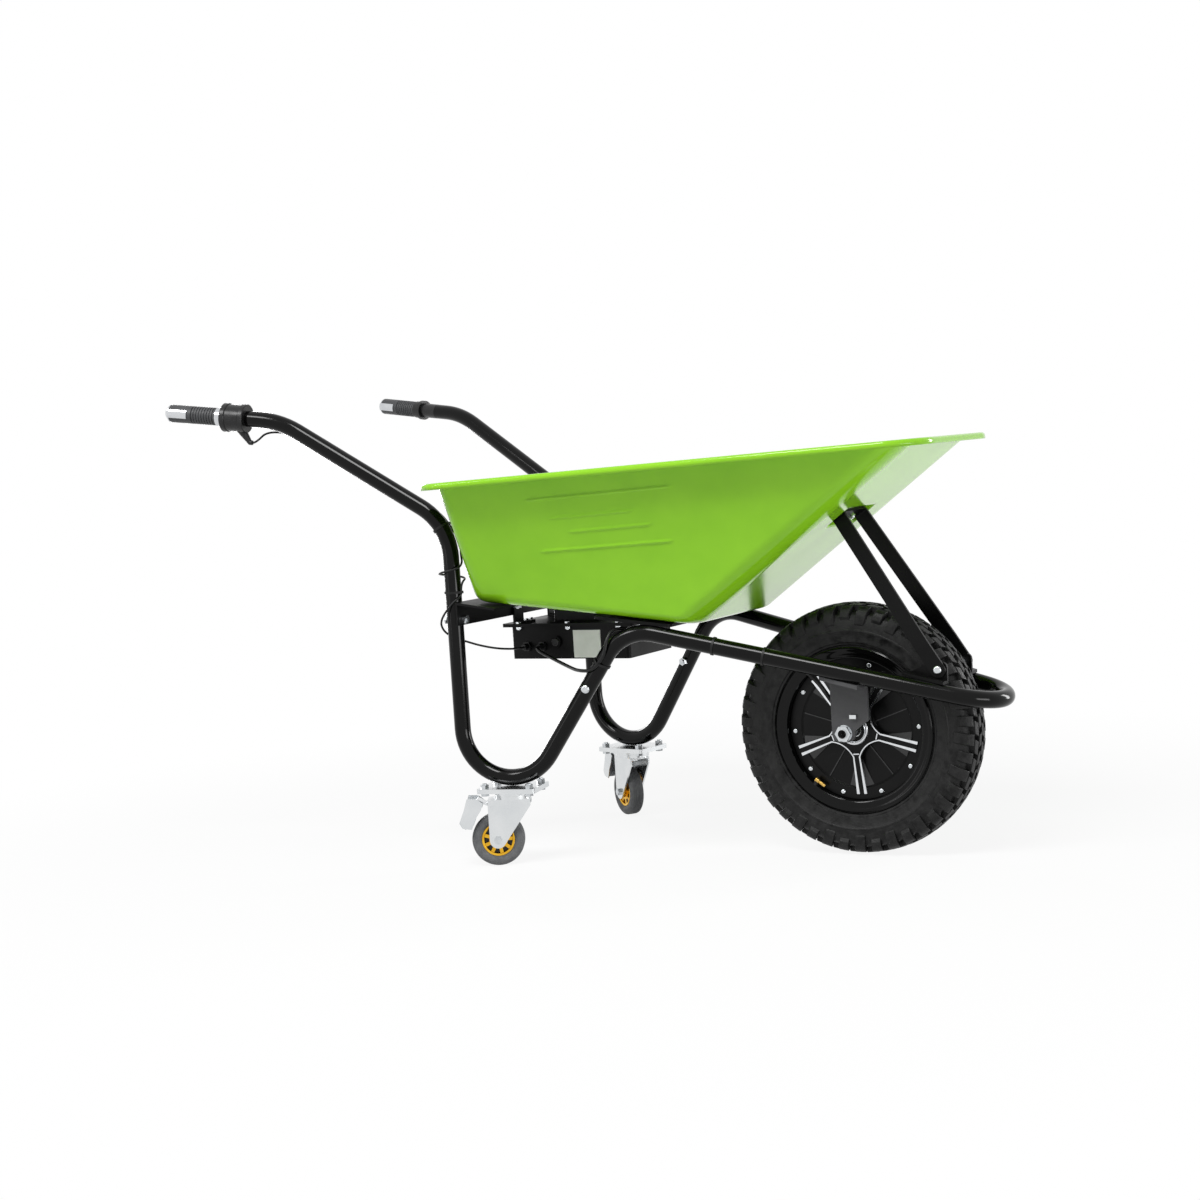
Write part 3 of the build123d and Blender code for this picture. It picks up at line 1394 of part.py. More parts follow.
def fork_plane(y):
    """Upright plane of the caster at a given y; local x is the caster's x and local y is height."""
    return Plane(origin=(0, y, 0), x_dir=(1, 0, 0), z_dir=(0, -1, 0))


caster_section = Plane(origin=caster_centre, x_dir=(0, 1, 0), z_dir=(1, 0, 0))
pedal_pin = (PEDAL_PIVOT_X, PEDAL_PIVOT_Z)

with BuildPart() as fork:
    with BuildSketch(Plane.XY.offset(crown_top)):
        with Locations(((FORK_FRONT - FORK_REAR) / 2, 0)):
            Rectangle(FORK_FRONT + FORK_REAR, fork_w)
    extrude(amount=-FORK_T)
    with BuildSketch(Plane.XY.offset(crown_top)):
        Circle(RACE_R)
    extrude(amount=RACE_T)
    for side in SIDES.values():
        with BuildSketch(fork_plane(side * half_fork)):
            with Locations(((FORK_FRONT - FORK_REAR) / 2, crown_top)):
                Rectangle(FORK_FRONT + FORK_REAR, FORK_SHOULDER, align=(Align.CENTER, Align.MAX))
            with Locations((-CASTER_TRAIL, caster_r)):
                Circle(FORK_END_R)
            make_hull()
            with Locations((-CASTER_TRAIL, caster_r)):
                Circle(CASTER_AXLE_R + BOLT_GAP, mode=Mode.SUBTRACT)
            with Locations(pedal_pin):
                Circle(PEDAL_PIN_R + RUN_FIT, mode=Mode.SUBTRACT)
        extrude(amount=-side * FORK_T)
    with Locations((0, 0, crown_top)):
        Cylinder(KINGPIN_R + RUN_FIT, 4 * RACE_T, mode=Mode.SUBTRACT)

with BuildPart() as caster_axle:
    with BuildSketch(fork_plane(0)):
        with Locations((-CASTER_TRAIL, caster_r)):
            Circle(CASTER_AXLE_R)
    extrude(amount=fork_w / 2 + CASTER_HEAD_T, both=True)
    for side in SIDES.values():
        with BuildSketch(fork_plane(side * fork_w / 2)):
            with Locations((-CASTER_TRAIL, caster_r)):
                RegularPolygon(CASTER_HEAD_R, 6)
        extrude(amount=-side * CASTER_HEAD_T)

with BuildPart() as caster_rim:
    with BuildSketch(caster_section):
        with Locations((0, CASTER_AXLE_R + RUN_FIT)):
            Rectangle(
                FORK_INSIDE - 2 * SIDE_GAP, CASTER_HUB_R - CASTER_AXLE_R, align=(Align.CENTER, Align.MIN)
            )
            Rectangle(CASTER_WEB, CASTER_RIM_R - CASTER_AXLE_R - RUN_FIT, align=(Align.CENTER, Align.MIN))
        with Locations((0, CASTER_RIM_R)):
            Rectangle(CASTER_RIM_W, CASTER_RIM_T, align=(Align.CENTER, Align.MAX))
    revolve(axis=caster_axis)

with BuildPart() as caster_tyre:
    with BuildSketch(caster_section):
        with Locations((0, CASTER_RIM_R + NUT_GAP)):
            Rectangle(CASTER_W, caster_r - CASTER_RIM_R - NUT_GAP, align=(Align.CENTER, Align.MIN))
        fillet(vertices().sort_by(Axis.Y)[-2:], CASTER_ROUND)
        fillet(vertices().sort_by(Axis.Y)[:2], CASTER_ROUND / 3)
    revolve(axis=caster_axis)

with BuildPart() as brake_pedal:
    with BuildSketch(fork_plane(0)):
        with BuildLine() as pedal_line:
            Polyline(pedal_pin, (PEDAL_TOP_X, PEDAL_TOP_Z), (PEDAL_TIP_X, PEDAL_TIP_Z))
            offset(amount=PEDAL_T / 2)
        make_face()
    extrude(amount=PEDAL_W / 2, both=True)
    with BuildSketch(fork_plane(0)):
        with BuildLine():
            Polyline((PEDAL_TOP_X, PEDAL_TOP_Z), (PEDAL_TIP_X, PEDAL_TIP_Z))
            offset(amount=PEDAL_T / 2)
        make_face()
    extrude(amount=PEDAL_FIN_W / 2, both=True)
    with BuildSketch(fork_plane(0)):
        with Locations(pedal_pin):
            Circle(2 * PEDAL_PIN_R)
    extrude(amount=PEDAL_W / 2, both=True)
    with BuildSketch(fork_plane(0)):
        with Locations(pedal_pin):
            Circle(PEDAL_PIN_R)
    extrude(amount=fork_w / 2, both=True)

caster_top = []
caster_pins = []
leg_seats = []
caster_fasteners = []
bolt_spots = [(x * CASTER_BOLTS_L / 2, y * CASTER_BOLTS_W / 2) for x in (-1, 1) for y in (-1, 1)]

with BuildPart() as top_plate:
    with BuildSketch(Plane.XY.offset(race_top)):
        RectangleRounded(CASTER_PLATE_L, CASTER_PLATE_W, PLATE_ROUND)
    extrude(amount=CASTER_PLATE_T)
    with BuildSketch(Plane.XY.offset(race_top)):
        Circle(RACE_R + 2)
    extrude(amount=-RACE_T)
    with Locations((0, 0, race_top)):
        Cylinder(KINGPIN_R + NUT_GAP, 4 * RACE_T, mode=Mode.SUBTRACT)
    for spot in bolt_spots:
        bolt_hole(Plane(origin=(*spot, race_top)), 2 * CASTER_PLATE_T)

with BuildPart() as leg_plate:
    with BuildSketch(Plane.XY.offset(CASTER_H)):
        RectangleRounded(CASTER_PLATE_L, CASTER_PLATE_W, PLATE_ROUND)
    extrude(amount=LEG_PLATE_T)
    for spot in bolt_spots:
        bolt_hole(Plane(origin=(*spot, CASTER_H)), 2 * LEG_PLATE_T)

with BuildPart() as kingpin:
    with BuildSketch(Plane.XY.offset(CASTER_H - NUT_GAP)):
        Circle(KINGPIN_R)
    extrude(amount=crown_bottom - RACE_GAP - CASTER_H)
    with BuildSketch(Plane.XY.offset(crown_bottom - RACE_GAP)):
        Circle(KINGPIN_HEAD_R)
    extrude(amount=-KINGPIN_HEAD_T)

plate_bolts = []
for spot in bolt_spots:
    below = Plane(origin=(*spot, race_top), x_dir=(1, 0, 0), z_dir=(0, 0, -1))
    plate_bolts += hex_bolt(below, CASTER_PLATE_T + LEG_PLATE_T)

for name, side in SIDES.items():
    foot = side_point(side, foot_centre[0], 0)
    square = Location(foot, (0, 0, -side * SIDE_ANGLE))
    turned = Location(foot, (0, 0, CASTER_YAW[name]))
    caster_top.append(square * top_plate.part)
    leg_seats.append(square * leg_plate.part)
    caster_pins.append(square * kingpin.part)
    caster_fasteners += [square * piece for piece in plate_bolts]
    save(turned * fork.part, f"caster_fork_{name}")
    save(turned * caster_axle.part, f"caster_axle_{name}")
    save(turned * caster_rim.part, f"caster_rim_{name}")
    save(turned * caster_tyre.part, f"caster_tyre_{name}")
    save(turned * brake_pedal.part, f"brake_pedal_{name}")

with BuildPart() as caster_plates:
    add(caster_top)
save(caster_plates.part, "caster_plates")

with BuildPart() as leg_plates:
    add(leg_seats)
save(leg_plates.part, "leg_plates")

with BuildPart() as caster_kingpins:
    add(caster_pins)
save(caster_kingpins.part, "caster_kingpins")

with BuildPart() as caster_bolts:
    add(caster_fasteners)
save(caster_bolts.part, "caster_bolts")


# Cables and their ties, all on the right side

def cord_radii(points):
    """Bend radius at each inner point of a cord: nearly half of the shorter run goes into the bend."""
    radii = []
    for before, corner, after in zip(points, points[1:], points[2:]):
        run_in = corner - before
        run_out = after - corner
        half_bend = radians(run_in.get_angle(run_out)) / 2
        radii.append(CORD_TANGENT * min(run_in.length, run_out.length) / tan(half_bend))
    return radii


def cord(points, radius, name):
    """Round cord along straight runs joined by tangent arcs."""
    radii = cord_radii(points)
    with BuildPart() as strand:
        with BuildLine() as route:
            FilletPolyline(*points, radius=radii)
        with BuildSketch(Plane(origin=route.line @ 0, z_dir=route.line % 0)):
            Circle(radius)
        sweep(path=route.line)
    length = sum(edge.length for edge in route.edges())
    print(name, "bend radii", [round(value, 1) for value in radii])
    print(name, "volume over section times length", round(strand.part.volume / (pi * radius**2 * length), 4))
    return strand.part


def limb_point(distance, out, rear=0):
    """Point beside the right limb below the front bend; rear is measured square to the limb."""
    along, height = along_limb(distance)
    return side_point(-1, along - rear * sin(limb), height + rear * cos(limb), out)


def run_point(along, out):
    """Point beside the right forward run."""
    return side_point(-1, along, RUN_Z_AT_AXLE - along * tan(run), out)


def leg_point(front, height, out):
    """Point beside the right leg."""
    return side_point(-1, front - LEG_BACK, height, out)


def bend_point(centre, bend_r, turn, around, lay):
    """Point beside a bent tube: turn runs along the bend, around from the near side over the outside."""
    reach = bend_r + lay * sin(radians(around))
    along = centre[0] + reach * cos(radians(turn))
    height = centre[1] + reach * sin(radians(turn))
    return side_point(-1, along, height, lay * cos(radians(around)))


def heading(along, height):
    """Direction in the right side plane."""
    return (side_point(-1, along, height) - side_point(-1, 0, 0)).normalized()


def tie(axis_point, tangent, cable_point, cable_r):
    """Band drawn tight round a tube and the cable beside it."""
    place = Plane(origin=axis_point, z_dir=tangent)
    beside = place.to_local_coords(cable_point)
    with BuildPart() as band:
        for extra, mode in ((TIE_T, Mode.ADD), (0, Mode.SUBTRACT)):
            with BuildSketch(place):
                Circle(TUBE_R + CABLE_GAP + extra)
                with Locations((beside.X, beside.Y)):
                    Circle(cable_r + TIE_SLACK + extra)
                make_hull()
            extrude(amount=TIE_W / 2, both=True, mode=mode)
    return band.part


cable_lay = TUBE_R + CABLE_R + CABLE_GAP
bend_lay = cable_lay * BEND_LAY_FACTOR
slope_angle = degrees(atan((HANDLE_BEND_Z - LEG_BEND_Z) / (HANDLE_BEND_BACK - LEG_BACK)))
leg_turn = 90 - slope_angle
leg_bend = (-LEG_BACK - LEG_BEND_R, LEG_BEND_Z - LEG_BEND_R * tan(radians(leg_turn) / 2))
sloping_z = HANDLE_BEND_Z - CABLE_JOIN * tan(radians(slope_angle))
wrap = cable_lay + WRAP_SLACK
tie_spot = crossbar_top + WRAP_TIE_ABOVE
gland_1 = Vector(AXLE_X - GLAND_BACK[0], near_face - GLAND_L - NUT_GAP, GLAND_Z)
gland_2 = Vector(AXLE_X - GLAND_BACK[1], near_face - GLAND_L - NUT_GAP, GLAND_Z)
before_tie = bend_point(
    leg_bend, LEG_BEND_R, BEND_TIE_TURN + BEND_TIE_HALF, BEND_TIE_AROUND + BEND_TIE_HALF, bend_lay
)
after_tie = bend_point(
    leg_bend, LEG_BEND_R, BEND_TIE_TURN - BEND_TIE_HALF, BEND_TIE_AROUND - BEND_TIE_HALF, bend_lay
)
bend_tie_cable = (before_tie + after_tie) / 2
throttle_points = [
    nozzle_end + handle_forward * NUT_GAP,
    nozzle_end + handle_forward * CABLE_LEAD,
    handle_section.from_local_coords((housing_end + CABLE_RISE_X, -TUBE_R - CABLE_RISE_DROP, -CABLE_RISE_IN)),
    side_point(-1, -HANDLE_BEND_BACK + CABLE_JOIN, sloping_z, -cable_lay),
    bend_point(leg_bend, LEG_BEND_R, leg_turn, 175, bend_lay),
    bend_point(leg_bend, LEG_BEND_R, (leg_turn + BEND_TIE_TURN + BEND_TIE_HALF) / 2, 160, bend_lay * 1.05),
    before_tie,
    after_tie,
    bend_point(leg_bend, LEG_BEND_R, BEND_TIE_TURN / 3, 110, bend_lay * 1.2),
    leg_point(cable_lay, tie_spot + 66, -4),
    leg_point(wrap, tie_spot + 49, -4),
    leg_point(wrap, tie_spot + 41, wrap),
    leg_point(-wrap - 3, tie_spot + 34, wrap),
    leg_point(-wrap - 3, tie_spot + 29, -wrap),
    leg_point(wrap, tie_spot + 24, -wrap),
    leg_point(wrap, tie_spot + 17, 3),
    leg_point(cable_lay, tie_spot + 7, 4),
    leg_point(cable_lay, tie_spot - 7, 5),
    leg_point(0.4 * cable_lay, tie_spot - 15, wrap + 2),
    leg_point(-wrap - 3, tie_spot - 46, wrap - 2),
    leg_point(-wrap - 5, tie_spot - 66, 0),
    leg_point(4 - wrap, tie_spot - 79, -wrap),
    leg_point(wrap / 2, tie_spot - 87, -wrap - 1),
    leg_point(28, tie_spot - 97, -38),
    gland_1 + Vector(-8, -70, 6),
    gland_1 + Vector(0, -23, 0),
    gland_1,
]
save(cord(throttle_points, CABLE_R, "throttle cable"), "throttle_cable")

motor_lay = (TUBE_R + MOTOR_CABLE_R + CABLE_GAP) * BEND_LAY_FACTOR
front_bend = (bend_centre.X, bend_centre.Y)
limb_tie_cable = limb_point(LIMB_TIE, motor_lay + 1, 2)
axle_lead = Vector(cos(radians(LEAD_ANGLE)), 0, sin(radians(LEAD_ANGLE)))
lead_root = Vector(AXLE_X, -LEAD_Y, AXLE_Z)
motor_points = [
    gland_2,
    gland_2 + Vector(0, -16, 0),
    gland_2 + Vector(48, -32, -17),
    gland_2 + Vector(92, -58, -27),
    gland_2 + Vector(130, -92, -30),
    limb_point(LIMB_TIE + 15, motor_lay + 2, 4),
    limb_point(LIMB_TIE - 14, motor_lay),
    bend_point(front_bend, FRONT_BEND_R, 138, 15, motor_lay),
    bend_point(front_bend, FRONT_BEND_R, 129, 50, motor_lay * 1.15),
    bend_point(front_bend, FRONT_BEND_R, 121, 95, motor_lay * 1.3),
    bend_point(front_bend, FRONT_BEND_R, 112, 140, motor_lay * 1.15),
    bend_point(front_bend, FRONT_BEND_R, 100, 175, motor_lay),
    run_point(RUN_CABLE_START, -motor_lay),
    run_point(RUN_CABLE_END, -motor_lay),
    lead_root + Vector(-46, -24, 92),
    lead_root + axle_lead * 48,
    lead_root + axle_lead * (AXLE_R + NUT_GAP * 10),
]
save(cord(motor_points, MOTOR_CABLE_R, "motor cable"), "motor_cable")

leg_tie_axis = side_point(-1, -LEG_BACK, tie_spot)
bend_tie_axis = bend_point(leg_bend, LEG_BEND_R, BEND_TIE_TURN, 0, 0)
bend_tie_dir = heading(-sin(radians(BEND_TIE_TURN)), cos(radians(BEND_TIE_TURN)))
limb_heading = heading(cos(limb), sin(limb))
run_heading = heading(cos(run), -sin(run))
tie_pieces = [
    tie(bend_tie_axis, bend_tie_dir, bend_tie_cable, CABLE_R),
    tie(leg_tie_axis, Vector(0, 0, 1), leg_point(cable_lay, tie_spot, 4), CABLE_R),
    tie(limb_point(LIMB_TIE, 0), limb_heading, limb_tie_cable, MOTOR_CABLE_R),
]
for along in RUN_TIES:
    tie_pieces.append(tie(run_point(along, 0), run_heading, run_point(along, -motor_lay), MOTOR_CABLE_R))
tail_out = sqrt((TUBE_R + CABLE_GAP + TAIL_T / 2) ** 2 - TAIL_REAR**2)
tail_middle = limb_point(LIMB_TIE + TAIL_START + TAIL_L / 2, tail_out, TAIL_REAR)
tail_normal = limb_point(0, tail_out, TAIL_REAR) - limb_point(0, 0)
with BuildPart() as cable_ties:
    add(tie_pieces)
    with Locations(Plane(origin=tail_middle, x_dir=limb_heading, z_dir=tail_normal)):
        Box(TAIL_L, TAIL_W, TAIL_T)
save(cable_ties.part, "cable_ties")

print("axle x", round(AXLE_X, 3), "length", round(handle_reach + nose_reach, 1))
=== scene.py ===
# %% [markdown]
# # Electric wheelbarrow
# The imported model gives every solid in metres, in one frame: +X to the nose, +Y to the user's left, +Z
# up. This lesson dresses it. It keeps the bent tubes, plates and bolts and gives them real finishes. It
# models anew what a solid can't show well, such as the pressed tray, the knobbly tyre, the star on the
# hub and the cables.

# %% Load the frame
import bpy
import bmesh
import json
from math import cos, pi, radians, sin, tan
from mathutils import Matrix, Vector


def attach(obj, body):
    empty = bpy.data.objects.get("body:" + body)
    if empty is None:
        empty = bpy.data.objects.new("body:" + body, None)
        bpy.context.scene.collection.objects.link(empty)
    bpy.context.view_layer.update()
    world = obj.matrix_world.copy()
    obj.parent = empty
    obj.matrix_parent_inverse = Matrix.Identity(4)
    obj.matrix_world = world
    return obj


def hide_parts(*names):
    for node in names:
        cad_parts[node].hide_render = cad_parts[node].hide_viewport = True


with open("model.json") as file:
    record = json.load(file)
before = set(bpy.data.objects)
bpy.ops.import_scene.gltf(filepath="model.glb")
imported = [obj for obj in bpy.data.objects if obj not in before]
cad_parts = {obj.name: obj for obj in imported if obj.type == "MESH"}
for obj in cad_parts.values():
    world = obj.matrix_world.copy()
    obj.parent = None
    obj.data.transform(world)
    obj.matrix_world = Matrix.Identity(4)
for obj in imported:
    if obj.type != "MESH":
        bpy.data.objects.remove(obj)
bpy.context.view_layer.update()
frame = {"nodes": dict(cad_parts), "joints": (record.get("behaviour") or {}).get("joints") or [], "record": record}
scene = bpy.context.scene
nodes = frame["nodes"]
joints = {joint["name"]: joint for joint in frame["joints"]}
MM = 0.001
AXLE = Vector(joints["wheel_spin"]["pos_m"])
print("nodes", len(nodes), "axle", tuple(AXLE))

# %% [markdown]
# ## Camera
# The photograph was taken from the right front, a little above the rim, with the barrow turned about
# thirty degrees. A camera could be aimed at an empty object. Here its place, its lens and a slight roll
# come from matching the tubes and the wheel to the photograph, so three angles give the camera's own
# axes and nothing has to be aimed.

# %% Camera
# Metres from the spot on the floor under the axle.
CAMERA_FROM_AXLE = Vector((1.35007, -3.26034, 0.72172))
CAMERA_TURN = radians(29.35)
CAMERA_DIP = radians(4.451)
CAMERA_ROLL = radians(-3.608)
LENS_MM = 63.575
SENSOR_MM = 36
FAR_CLIP = 200

sight = Vector((
    -sin(CAMERA_TURN) * cos(CAMERA_DIP),
    cos(CAMERA_TURN) * cos(CAMERA_DIP),
    -sin(CAMERA_DIP),
))
level = Vector((cos(CAMERA_TURN), sin(CAMERA_TURN), 0))
upright = level.cross(sight)
right = level * cos(CAMERA_ROLL) + upright * sin(CAMERA_ROLL)
up = upright * cos(CAMERA_ROLL) - level * sin(CAMERA_ROLL)
place = Vector((AXLE.x, 0, 0)) + CAMERA_FROM_AXLE
lens = bpy.data.cameras.new("photo_lens")
lens.lens = LENS_MM
lens.sensor_width = SENSOR_MM
lens.clip_end = FAR_CLIP
camera = bpy.data.objects.new("photo_camera", lens)
scene.collection.objects.link(camera)
camera.matrix_world = Matrix.Translation(place) @ Matrix((right, up, -sight)).transposed().to_4x4()
scene.camera = camera
print("camera at", tuple(round(v, 3) for v in place))

# %% [markdown]
# ## Colours and nodes
# Colours are written as the hex values of a colour picker, but shaders work with linear light. One
# function turns the first into the second. Another adds a shader node with its settings and links, so
# that a material reads as a list of nodes.


# %% Two helpers for materials
def linear(code):
    """Linear colour from an sRGB hex value."""
    parts = [int(code[i:i + 2], 16) / 255 for i in (1, 3, 5)]
    return (*[p / 12.92 if p <= 0.04045 else ((p + 0.055) / 1.055) ** 2.4 for p in parts], 1)


def add(tree, kind, settings=None, inputs=None):
    """One shader node. Settings are its properties; inputs are values or sockets by name or index."""
    node = tree.nodes.new(kind)
    for key, value in (settings or {}).items():
        setattr(node, key, value)
    for key, value in (inputs or {}).items():
        if isinstance(value, bpy.types.NodeSocket):
            tree.links.new(value, node.inputs[key])
        else:
            node.inputs[key].default_value = value
    return node


print("middle grey in linear light", round(linear("#808080")[0], 3))

# %% [markdown]
# ## Finishes
# A real surface is never one flat colour. Each finish could have a shader of its own, but most of them
# need the same three things: two close colours that mix in slow patches, a roughness that wanders with
# them, and a fine bump. One recipe gives all three, so a finish is one line of real values, with grain
# and patches in millimetres. A pixel of the picture is nearly two millimetres wide. Plating and mould
# grain is finer than a tenth of a millimetre, so it is drawn at about half a millimetre or more, which
# a close view can show.

# %% Recipe for a finish
# The noise seldom leaves this range, so it is stretched from here to the full mix.
CLOUD_LOW = 0.3
CLOUD_HIGH = 0.7


def finish(name, colour, second, rough, rough_change, grain_mm, bump_mm, patch_mm=60, **shader):
    """Material whose colour, roughness and bump come from noise at real sizes."""
    material = bpy.data.materials.new(name)
    material.use_nodes = True
    tree = material.node_tree
    tree.nodes.clear()
    where = add(tree, "ShaderNodeTexCoord").outputs["Object"]
    broad = {"Vector": where, "Scale": 1000 / patch_mm, "Detail": 4.0}
    patches = add(tree, "ShaderNodeTexNoise", None, broad)
    fine = {"Vector": where, "Scale": 1000 / grain_mm, "Detail": 2.0}
    grain = add(tree, "ShaderNodeTexNoise", None, fine)
    cloud = {"Value": patches.outputs[0], "From Min": CLOUD_LOW, "From Max": CLOUD_HIGH}
    share = add(tree, "ShaderNodeMapRange", None, {**cloud, "To Min": 0.0, "To Max": 1.0})
    pair = {0: share.outputs[0], 6: linear(colour), 7: linear(second)}
    blend = add(tree, "ShaderNodeMix", {"data_type": "RGBA"}, pair)
    low, high = rough - rough_change, rough + rough_change
    spread = add(tree, "ShaderNodeMapRange", None, {**cloud, "To Min": low, "To Max": high})
    relief = {"Height": grain.outputs[0], "Strength": 1.0, "Distance": bump_mm * MM}
    bump = add(tree, "ShaderNodeBump", None, relief)
    look = {"Base Color": blend.outputs[2], "Roughness": spread.outputs[0], "Normal": bump.outputs[0]}
    surface = add(tree, "ShaderNodeBsdfPrincipled", None, look)
    for key, value in shader.items():
        surface.inputs[key.replace("_", " ").title().replace("Ior", "IOR")].default_value = value
    output = add(tree, "ShaderNodeOutputMaterial")
    tree.links.new(surface.outputs[0], output.inputs[0])
    return material


# %% [markdown]
# ## Paints
# Tray, tubes, bars and hub are painted, each in another way, and the eye tells them apart by how sharp
# the lamps show in them. Each starts from a usual roughness for its paint. The index of refraction of
# most of them is set low, because a dark surface in a white room otherwise turns grey.

# %% Paints
# Powder coat melts in an oven into a satin skin. Its faint orange peel, about two millimetres across,
# softens the edge of every highlight. A clear lacquer makes the front wall, seen at a low angle, pale.
LACQUER = {"coat_weight": 1.0, "coat_ior": 1.2, "coat_roughness": 0.12}
lime_powder_coat = finish(
    "lime_powder_coat", "#84C01E", "#7EBA1A", 0.16, 0.03, 2.2, 0.006, ior=1.3, **LACQUER
)
# Enamel on the tubes is deep and smooth: it stays near black and shows the lamps as thin bright lines.
black_enamel = finish("black_enamel", "#030303", "#050505", 0.12, 0.03, 4.0, 0.002, ior=1.27)
# Bars, plates and the battery box have a black powder coat: its grain spreads light to a dull sheen.
black_powder_coat = finish("black_powder_coat", "#050505", "#090909", 0.38, 0.06, 1.5, 0.02, ior=1.22)
# The axle plates have a matt grey paint: an even tone with hardly a highlight.
grey_paint = finish("grey_paint", "#424243", "#48484A", 0.62, 0.05, 1.2, 0.03, ior=1.35)
# The hub is painted over the skin of the casting, so its black is a little pitted and uneven.
cast_black = finish("cast_black", "#040404", "#090909", 0.34, 0.06, 1.1, 0.04, 30, ior=1.25)
# Facets and ridges on the star are a shade lighter than the hub: painted light, so they read as planes.
painted_lit_black = finish("painted_lit_black", "#1B1B1C", "#232324", 0.42, 0.05, 0.9, 0.04, 18)
# Anodised aluminium holds its dye in the oxide, which hides the metal and leaves a satin black.
black_anodised = finish("black_anodised", "#0E0F10", "#141516", 0.38, 0.05, 0.6, 0.01, 20, ior=1.35)
# The bare plate on the box is lacquered aluminium, so it looks like pale paint and not like metal.
pale_lacquer = finish("pale_lacquer", "#E9EBE6", "#DFE2DB", 0.4, 0.05, 0.8, 0.008, 20)
print("lacquer over the lime coat", LACQUER)

# %% [markdown]
# ## Bare and plated metals
# A metal has no colour under its reflection: what it mirrors is tinted by the metal itself. So these
# finishes are metallic, fully so but for the varnished iron, and keep the shader's own index of
# refraction. Only colour and roughness tell zinc from brass.

# %% Bare and plated metals
# Bright zinc keeps a faint cloudiness from the plating bath, so its pale grey isn't quite even.
zinc_plate = finish("zinc_plate", "#DCDEDF", "#D2D5D7", 0.24, 0.04, 1.6, 0.008, 40, metallic=1.0)
# The same plating on small bolt heads has smaller clouds and sparkles more.
zinc_bolt = finish("zinc_bolt", "#D3D6D8", "#BDC1C4", 0.22, 0.05, 0.8, 0.008, 8, metallic=1.0)
# Polished chrome on caps and rings mirrors the lamps crisply.
polished_chrome = finish(
    "polished_chrome", "#D2D4D6", "#C6C8CB", 0.16, 0.04, 0.9, 0.006, 12, metallic=1.0
)
# A yellow passivate over zinc makes the caster rims look like gold.
yellow_passivate = finish(
    "yellow_passivate", "#E8B83C", "#D6A02A", 0.24, 0.05, 0.9, 0.012, 10, metallic=1.0
)
# Turned brass on the valve is warm and bright.
turned_brass = finish("turned_brass", "#D8B56A", "#C59C4A", 0.26, 0.05, 0.6, 0.01, 6, metallic=1.0)
# Machined aluminium is what the cutter leaves on the star's edges: nearly white against the black.
machined_aluminium = finish(
    "machined_aluminium", "#E2E4E6", "#D2D5D8", 0.2, 0.05, 0.6, 0.006, 6, metallic=1.0
)
# Drawn wire, varnished iron sheets and nickel plating lie inside: a dull grey, a brown and a pale grey.
spring_wire = finish("spring_wire", "#8D9195", "#7C8084", 0.3, 0.06, 0.4, 0.005, 5, metallic=1.0)
laminated_iron = finish("laminated_iron", "#6B625B", "#5A524D", 0.5, 0.1, 0.6, 0.02, 10, metallic=0.8)
nickel_plate = finish("nickel_plate", "#A9A9A6", "#9C9C99", 0.28, 0.06, 0.6, 0.008, 8, metallic=1.0)
print("zinc in linear light", round(linear("#DCDEDF")[0], 3))

# %% [markdown]
# ## Rubbers and plastics
# Moulded rubber and plastic take the surface of their mould. Rubber scatters light and looks soft,
# while plastic keeps a clear sheen. They differ in roughness more than in colour, so one recipe serves.

# %% Rubbers and plastics
# Tyre rubber is almost black, and dust makes it uneven. The mould's skin is drawn coarse, to show.
tyre_rubber = finish("tyre_rubber", "#040404", "#222222", 0.5, 0.14, 2.6, 0.5, 11, ior=1.3)
# The casters' grey rubber is matt, so the small wheels show hardly a highlight.
grey_rubber = finish("grey_rubber", "#666768", "#58595B", 0.68, 0.06, 0.9, 0.05, 12, ior=1.35)
# Grip rubber is a dark grey with a soft sheen, which shows its ribs.
grip_rubber = finish("grip_rubber", "#2A2B2D", "#343537", 0.5, 0.06, 0.8, 0.06, 14)
# Moulded ABS has a satin black face with rounded highlights.
moulded_abs = finish("moulded_abs", "#0D0D0E", "#141415", 0.32, 0.05, 0.8, 0.03, 16, ior=1.4)
# Extruded PVC round the cables carries one soft line of light, and the nylon of the ties is duller.
pvc_sheath = finish("pvc_sheath", "#060606", "#0A0A0A", 0.34, 0.05, 0.8, 0.02, 14, ior=1.35)
nylon = finish("nylon", "#070707", "#0B0B0B", 0.46, 0.05, 0.6, 0.02, 10, ior=1.35)
# Shrunk film round the battery pack is a glossy blue with slight ripples.
shrink_wrap = finish("shrink_wrap", "#1B4A8C", "#173F78", 0.3, 0.05, 4.0, 0.1, 30)
print("materials so far", len(bpy.data.materials))

# %% [markdown]
# ## Finishes on the solids
# Every solid already has a slot that says what it is made of. A table from slot to finish dresses them
# all in one loop, so two bolts can't end up in different steel.

# %% Dress the solids
SLOT_FINISH = {
    "frame_black": black_enamel, "steel_black": black_powder_coat, "plate_grey": grey_paint,
    "tray_green": lime_powder_coat, "zinc": zinc_plate, "bolt_steel": zinc_bolt,
    "tyre_rubber": tyre_rubber, "hub_black": cast_black, "stator_iron": laminated_iron,
    "magnet": nickel_plate, "brass": turned_brass, "gold_rim": yellow_passivate,
    "caster_rubber": grey_rubber, "grip_rubber": grip_rubber,
    "black_plastic": moulded_abs, "silver_cap": polished_chrome, "cable_black": pvc_sheath,
    "tie_plastic": nylon, "pack_blue": shrink_wrap, "controller_alloy": black_anodised,
    "plate_pale": pale_lacquer, "spring_steel": spring_wire,
}
for row in frame["record"]["subparts"]:
    mesh = nodes[row["node"]].data
    mesh.materials.clear()
    mesh.materials.append(SLOT_FINISH[row["material_slot"]])
print("slots", len(SLOT_FINISH))

